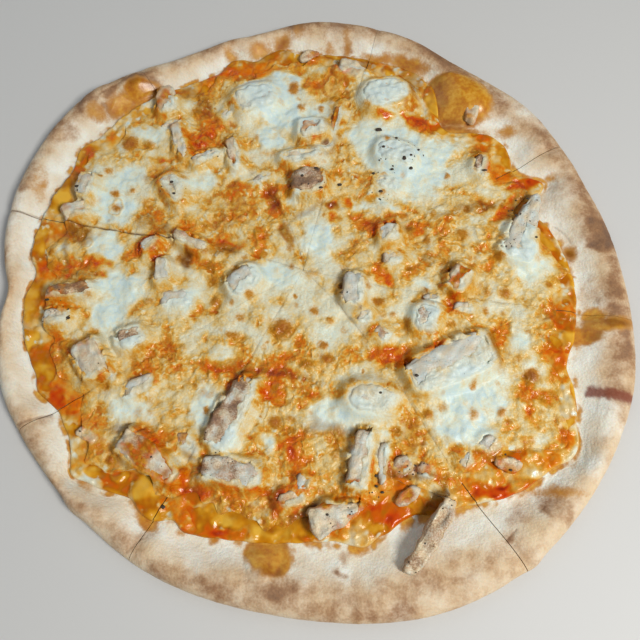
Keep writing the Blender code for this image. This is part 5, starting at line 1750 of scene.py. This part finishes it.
def make_cheese(number):
    rows = int(CUT_STRAIGHT_FROM / CHEESE_STEP)
    halved_at = [int(share * rows) for share in CHEESE_HALVED_AT]
    full = 4 * int(slice_span(number) * CUT_STRAIGHT_FROM / CHEESE_STEP / 4)
    outer = slice_distances(number, np.linspace(0.0, 1.0, full + 1), cheese_edge)
    points = []
    for row in range(rows + 1):
        steps = full >> sum(row >= at for at in halved_at)
        across = np.linspace(0.0, 1.0, steps + 1)
        distance = CHEESE_TIP + (outer[::full // steps] - CHEESE_TIP) * (1.0 - row / rows)
        points.append(slice_points(number, across, distance, (CHEESE_GAP,) * 8))
    (x, y), counts = joined(points)
    height, values = cheese_surface(x, y)
    corners, faces = closed_wedge(x, y, height, counts, CHEESE_BOTTOM)
    piece = mesh_piece(f"cheese_wedge_{number + 1}", corners, faces, cheese_finish, values)
    return keep(piece, "cheese", f"cheese_slice_{number + 1}")


cheese = [make_cheese(number) for number in range(len(CUTS))]
report("cheese:", cheese)

# %% [markdown]
# ## Scraps and pepper
#
# The scraps become one piece now. Coarse black pepper is scattered by a tree that reads a
# density attribute on the chicken and the cheese, and a few larger charred flecks are set one by
# one. Each grain is a squashed ball of a few faces, which is plenty at a millimetre.


# %% Put meshes together
def put_together(name, pieces, finish, slot):
    """One piece from several, with their attributes."""
    corners, faces, values, start = [], [], {}, 0
    for piece in pieces:
        mesh = piece.data
        corners.append(mesh_places(piece))
        faces += [tuple(start + v for v in face.vertices) for face in mesh.polygons]
        start += len(mesh.vertices)
        for key in LOOKS:
            if key in mesh.attributes:
                held = np.zeros(len(mesh.vertices))
                mesh.attributes[key].data.foreach_get("value", held)
                values.setdefault(key, []).append(held)
        bpy.data.objects.remove(piece)
        bpy.data.meshes.remove(mesh)
    values = {key: np.concatenate(parts) for key, parts in values.items()}
    return keep(mesh_piece(name, np.concatenate(corners), faces, finish, values, 180.0), slot)


scrap_mesh = put_together("chicken_scraps", [piece for piece, _ in scraps], meat_finish, "chicken")
report("scraps put together:", [scrap_mesh])

# %% The tree that sprinkles
sprinkle = Growth("Sprinkle", Per_square_metre="Float", Size="Float", Seed="Int")
seed = sprinkle.enter["Seed"]
upwards = sprinkle.add("ShaderNodeSeparateXYZ", {0: sprinkle.normal()})["Z"]
density = sprinkle.times(sprinkle.named("pepper"), sprinkle.between(upwards, 0.3, 0.6))
density = sprinkle.times(density, sprinkle.enter["Per square metre"])
points = sprinkle.add("GeometryNodeDistributePointsOnFaces", {
    "Mesh": sprinkle.enter["Geometry"], "Density": density, "Seed": seed})
ball = sprinkle.add("GeometryNodeMeshIcoSphere", {
    "Radius": sprinkle.enter["Size"], "Subdivisions": 1})[0]
flat = sprinkle.add("GeometryNodeTransform", {"Geometry": ball, "Scale": (1.0, 0.75, 0.45)})[0]
spin = sprinkle.add("FunctionNodeRandomValue", {2: 0.0, 3: 6.28, "Seed": seed})[1]
turned = sprinkle.add("FunctionNodeRotateRotation", {
    0: points["Rotation"], 1: sprinkle.add("ShaderNodeCombineXYZ", {2: spin})[0],
}, rotation_space="LOCAL")[0]
sized = sprinkle.add("FunctionNodeRandomValue", {2: 0.4, 3: 1.3, "Seed": seed})[1]
sprinkle.leave(sprinkle.add("GeometryNodeInstanceOnPoints", {
    "Points": points[0], "Instance": flat, "Rotation": turned, "Scale": sized})[0])

# %% Pepper and charred flecks: x, y, half length, half width
FLECKS = (
    (40, 96, 1.9, 1.3), (54, 73, 1.1, 1.4), (58, 68, 1.1, 1), (42, 81, 1, 0.8), (40, 54, 1.2, 0.9),
    (36, 66, 0.9, 0.8), (58, 75, 0.9, 0.7), (16, 59, 1.3, 1), (-136, 54, 1.2, 0.8),
    (-82, 58, 1, 0.8), (-80, 50, 1, 0.7), (101, 66, 1.6, 0.7), (117, 37, 1, 0.7),
    (127, 23, 0.9, 0.7), (125, 48, 1, 0.7), (55, -58, 1.1, 0.8), (36, -67, 0.8, 0.6),
    (33, -109, 1, 0.8), (36, -117, 1, 0.7), (33, -114, 0.8, 0.7), (8, -128, 0.8, 0.6),
    (102, -106, 0.8, 0.7), (100, -98, 0.6, 0.5), (-133, -25, 1.3, 0.9), (-145, -15, 1.2, 0.8),
    (-75, -124, 1.2, 1), (50, 88, 0.9, 0.7), (47, 68, 1, 0.8), (63, 80, 0.8, 0.6),
    (2, 66, 1.3, 0.7), (-6, 60, 1, 0.8), (5, 53, 1.2, 0.7),
)

# %% Sprinkle pepper and set the flecks
PEPPER_DARK, PEPPER_PALE = screen(38, 34, 32), screen(92, 76, 58)

pepper_finish, t = new_material("black_pepper")
fine = t.use(grain, Size=0.0005, Detail=2.0)["Value"]
t.surface({"Base Color": t.mix(fine, PEPPER_DARK, PEPPER_PALE), "Roughness": 0.6})

hosts = [*cheese, *(piece for piece, _ in meat), scrap_mesh]
seen_corners = np.concatenate([mesh_places(piece) for piece in hosts + sauce])


def surface_height(x, y):
    """Height of the highest corner within a millimetre of a place."""
    near = np.hypot(seen_corners[:, 0] - x, seen_corners[:, 1] - y) < 1.0
    return seen_corners[near, 2].max()


grains = []
for seed, host in enumerate(hosts):
    grains.append(grown(linked("pepper", host.data.copy()), sprinkle, {
        "Per square metre": 70000.0, "Size": 0.00055, "Seed": seed, "Finish": pepper_finish,
    }))
for x, y, half_length, half_width in FLECKS:
    shape = bmesh.new()
    bmesh.ops.create_icosphere(shape, subdivisions=2, radius=1.0)
    z = surface_height(x, y)
    for v in shape.verts:
        wobble = 1.0 + 0.3 * noise.noise(v.co * 1.7 + Vector((x, y, 0.0)))
        v.co = (v.co.x * half_length * wobble, v.co.y * half_width * wobble, v.co.z * 0.3)
    corners = [(x + v.co.x, y + v.co.y, z + v.co.z) for v in shape.verts]
    faces = [[v.index for v in face.verts] for face in shape.faces]
    grains.append(mesh_piece("fleck", corners, faces, pepper_finish))
    shape.free()
pepper = put_together("black_pepper", grains, pepper_finish, "chicken")
report("pepper:", [pepper])

# %% [markdown]
# ## Light, floor and camera
#
# The photograph's light is soft daylight from the lower right, which leaves thin shadows at
# the upper left of each piece of chicken. So an area light stands high at the lower right, a
# wide and weak one lights the far side, and a pale sky does the rest. The camera looks down
# at 72 degrees, aimed a little below the middle.

# %% Floor and lights
FLOOR_HALF = 3
FLOOR_DROP = -0.0002
mesh = bpy.data.meshes.new("floor")
square = [(-FLOOR_HALF, -FLOOR_HALF), (FLOOR_HALF, -FLOOR_HALF)]
square += [(-x, -y) for x, y in square]
mesh.from_pydata([(*corner, FLOOR_DROP) for corner in square], [], [(0, 1, 2, 3)])
floor = linked("floor", mesh)
floor_finish, t = new_material("pale_floor")
t.surface({"Base Color": screen(206, 205, 202), "Roughness": 0.6})
mesh.materials.append(floor_finish)

SKY_COLOUR = (0.90, 0.95, 1.0, 1.0)
SKY_STRENGTH = 0.31
sky = bpy.data.worlds.new("sky")
sky.use_nodes = True
Recipe(sky.node_tree).fill(sky.node_tree.nodes["Background"], {0: SKY_COLOUR, 1: SKY_STRENGTH})
bpy.context.scene.world = sky


def soft_light(name, place, size, power, colour):
    lamp = bpy.data.lights.new(name, "AREA")
    lamp.size, lamp.energy, lamp.color = size, power, colour
    made = linked(name, lamp)
    made.location = place
    made.rotation_euler = (-Vector(place)).to_track_quat("-Z", "Y").to_euler()


soft_light("window", (0.66, -0.48, 1.02), 0.32, 13.6, (1.0, 0.985, 0.96))
soft_light("fill", (-0.6, 0.8, 1.0), 1.0, 2.2, (0.93, 0.96, 1.0))
bpy.context.scene.view_settings.view_transform = "Standard"
bpy.context.scene.view_settings.gamma = 0.88
bpy.context.scene.view_settings.exposure = 0.0

# %% Camera
CAMERA_AIM = (4.38, -22.48)
CAMERA_FAR = 370.24
CAMERA_ABOVE = 72.0
CAMERA_LENS = 36.99
lens = bpy.data.cameras.new("camera")
lens.lens = CAMERA_LENS
lens.sensor_width = 36.0
lens.clip_start = 0.01
camera = linked("camera", lens)
lift = math.radians(CAMERA_ABOVE)
camera.location = (
    (CAMERA_AIM[0] - MIDDLE[0]) * MM,
    (CAMERA_AIM[1] - MIDDLE[1] - CAMERA_FAR * math.cos(lift)) * MM,
    CAMERA_FAR * math.sin(lift) * MM,
)
camera.rotation_euler = (math.pi / 2 - lift, 0.0, 0.0)
bpy.context.scene.camera = camera
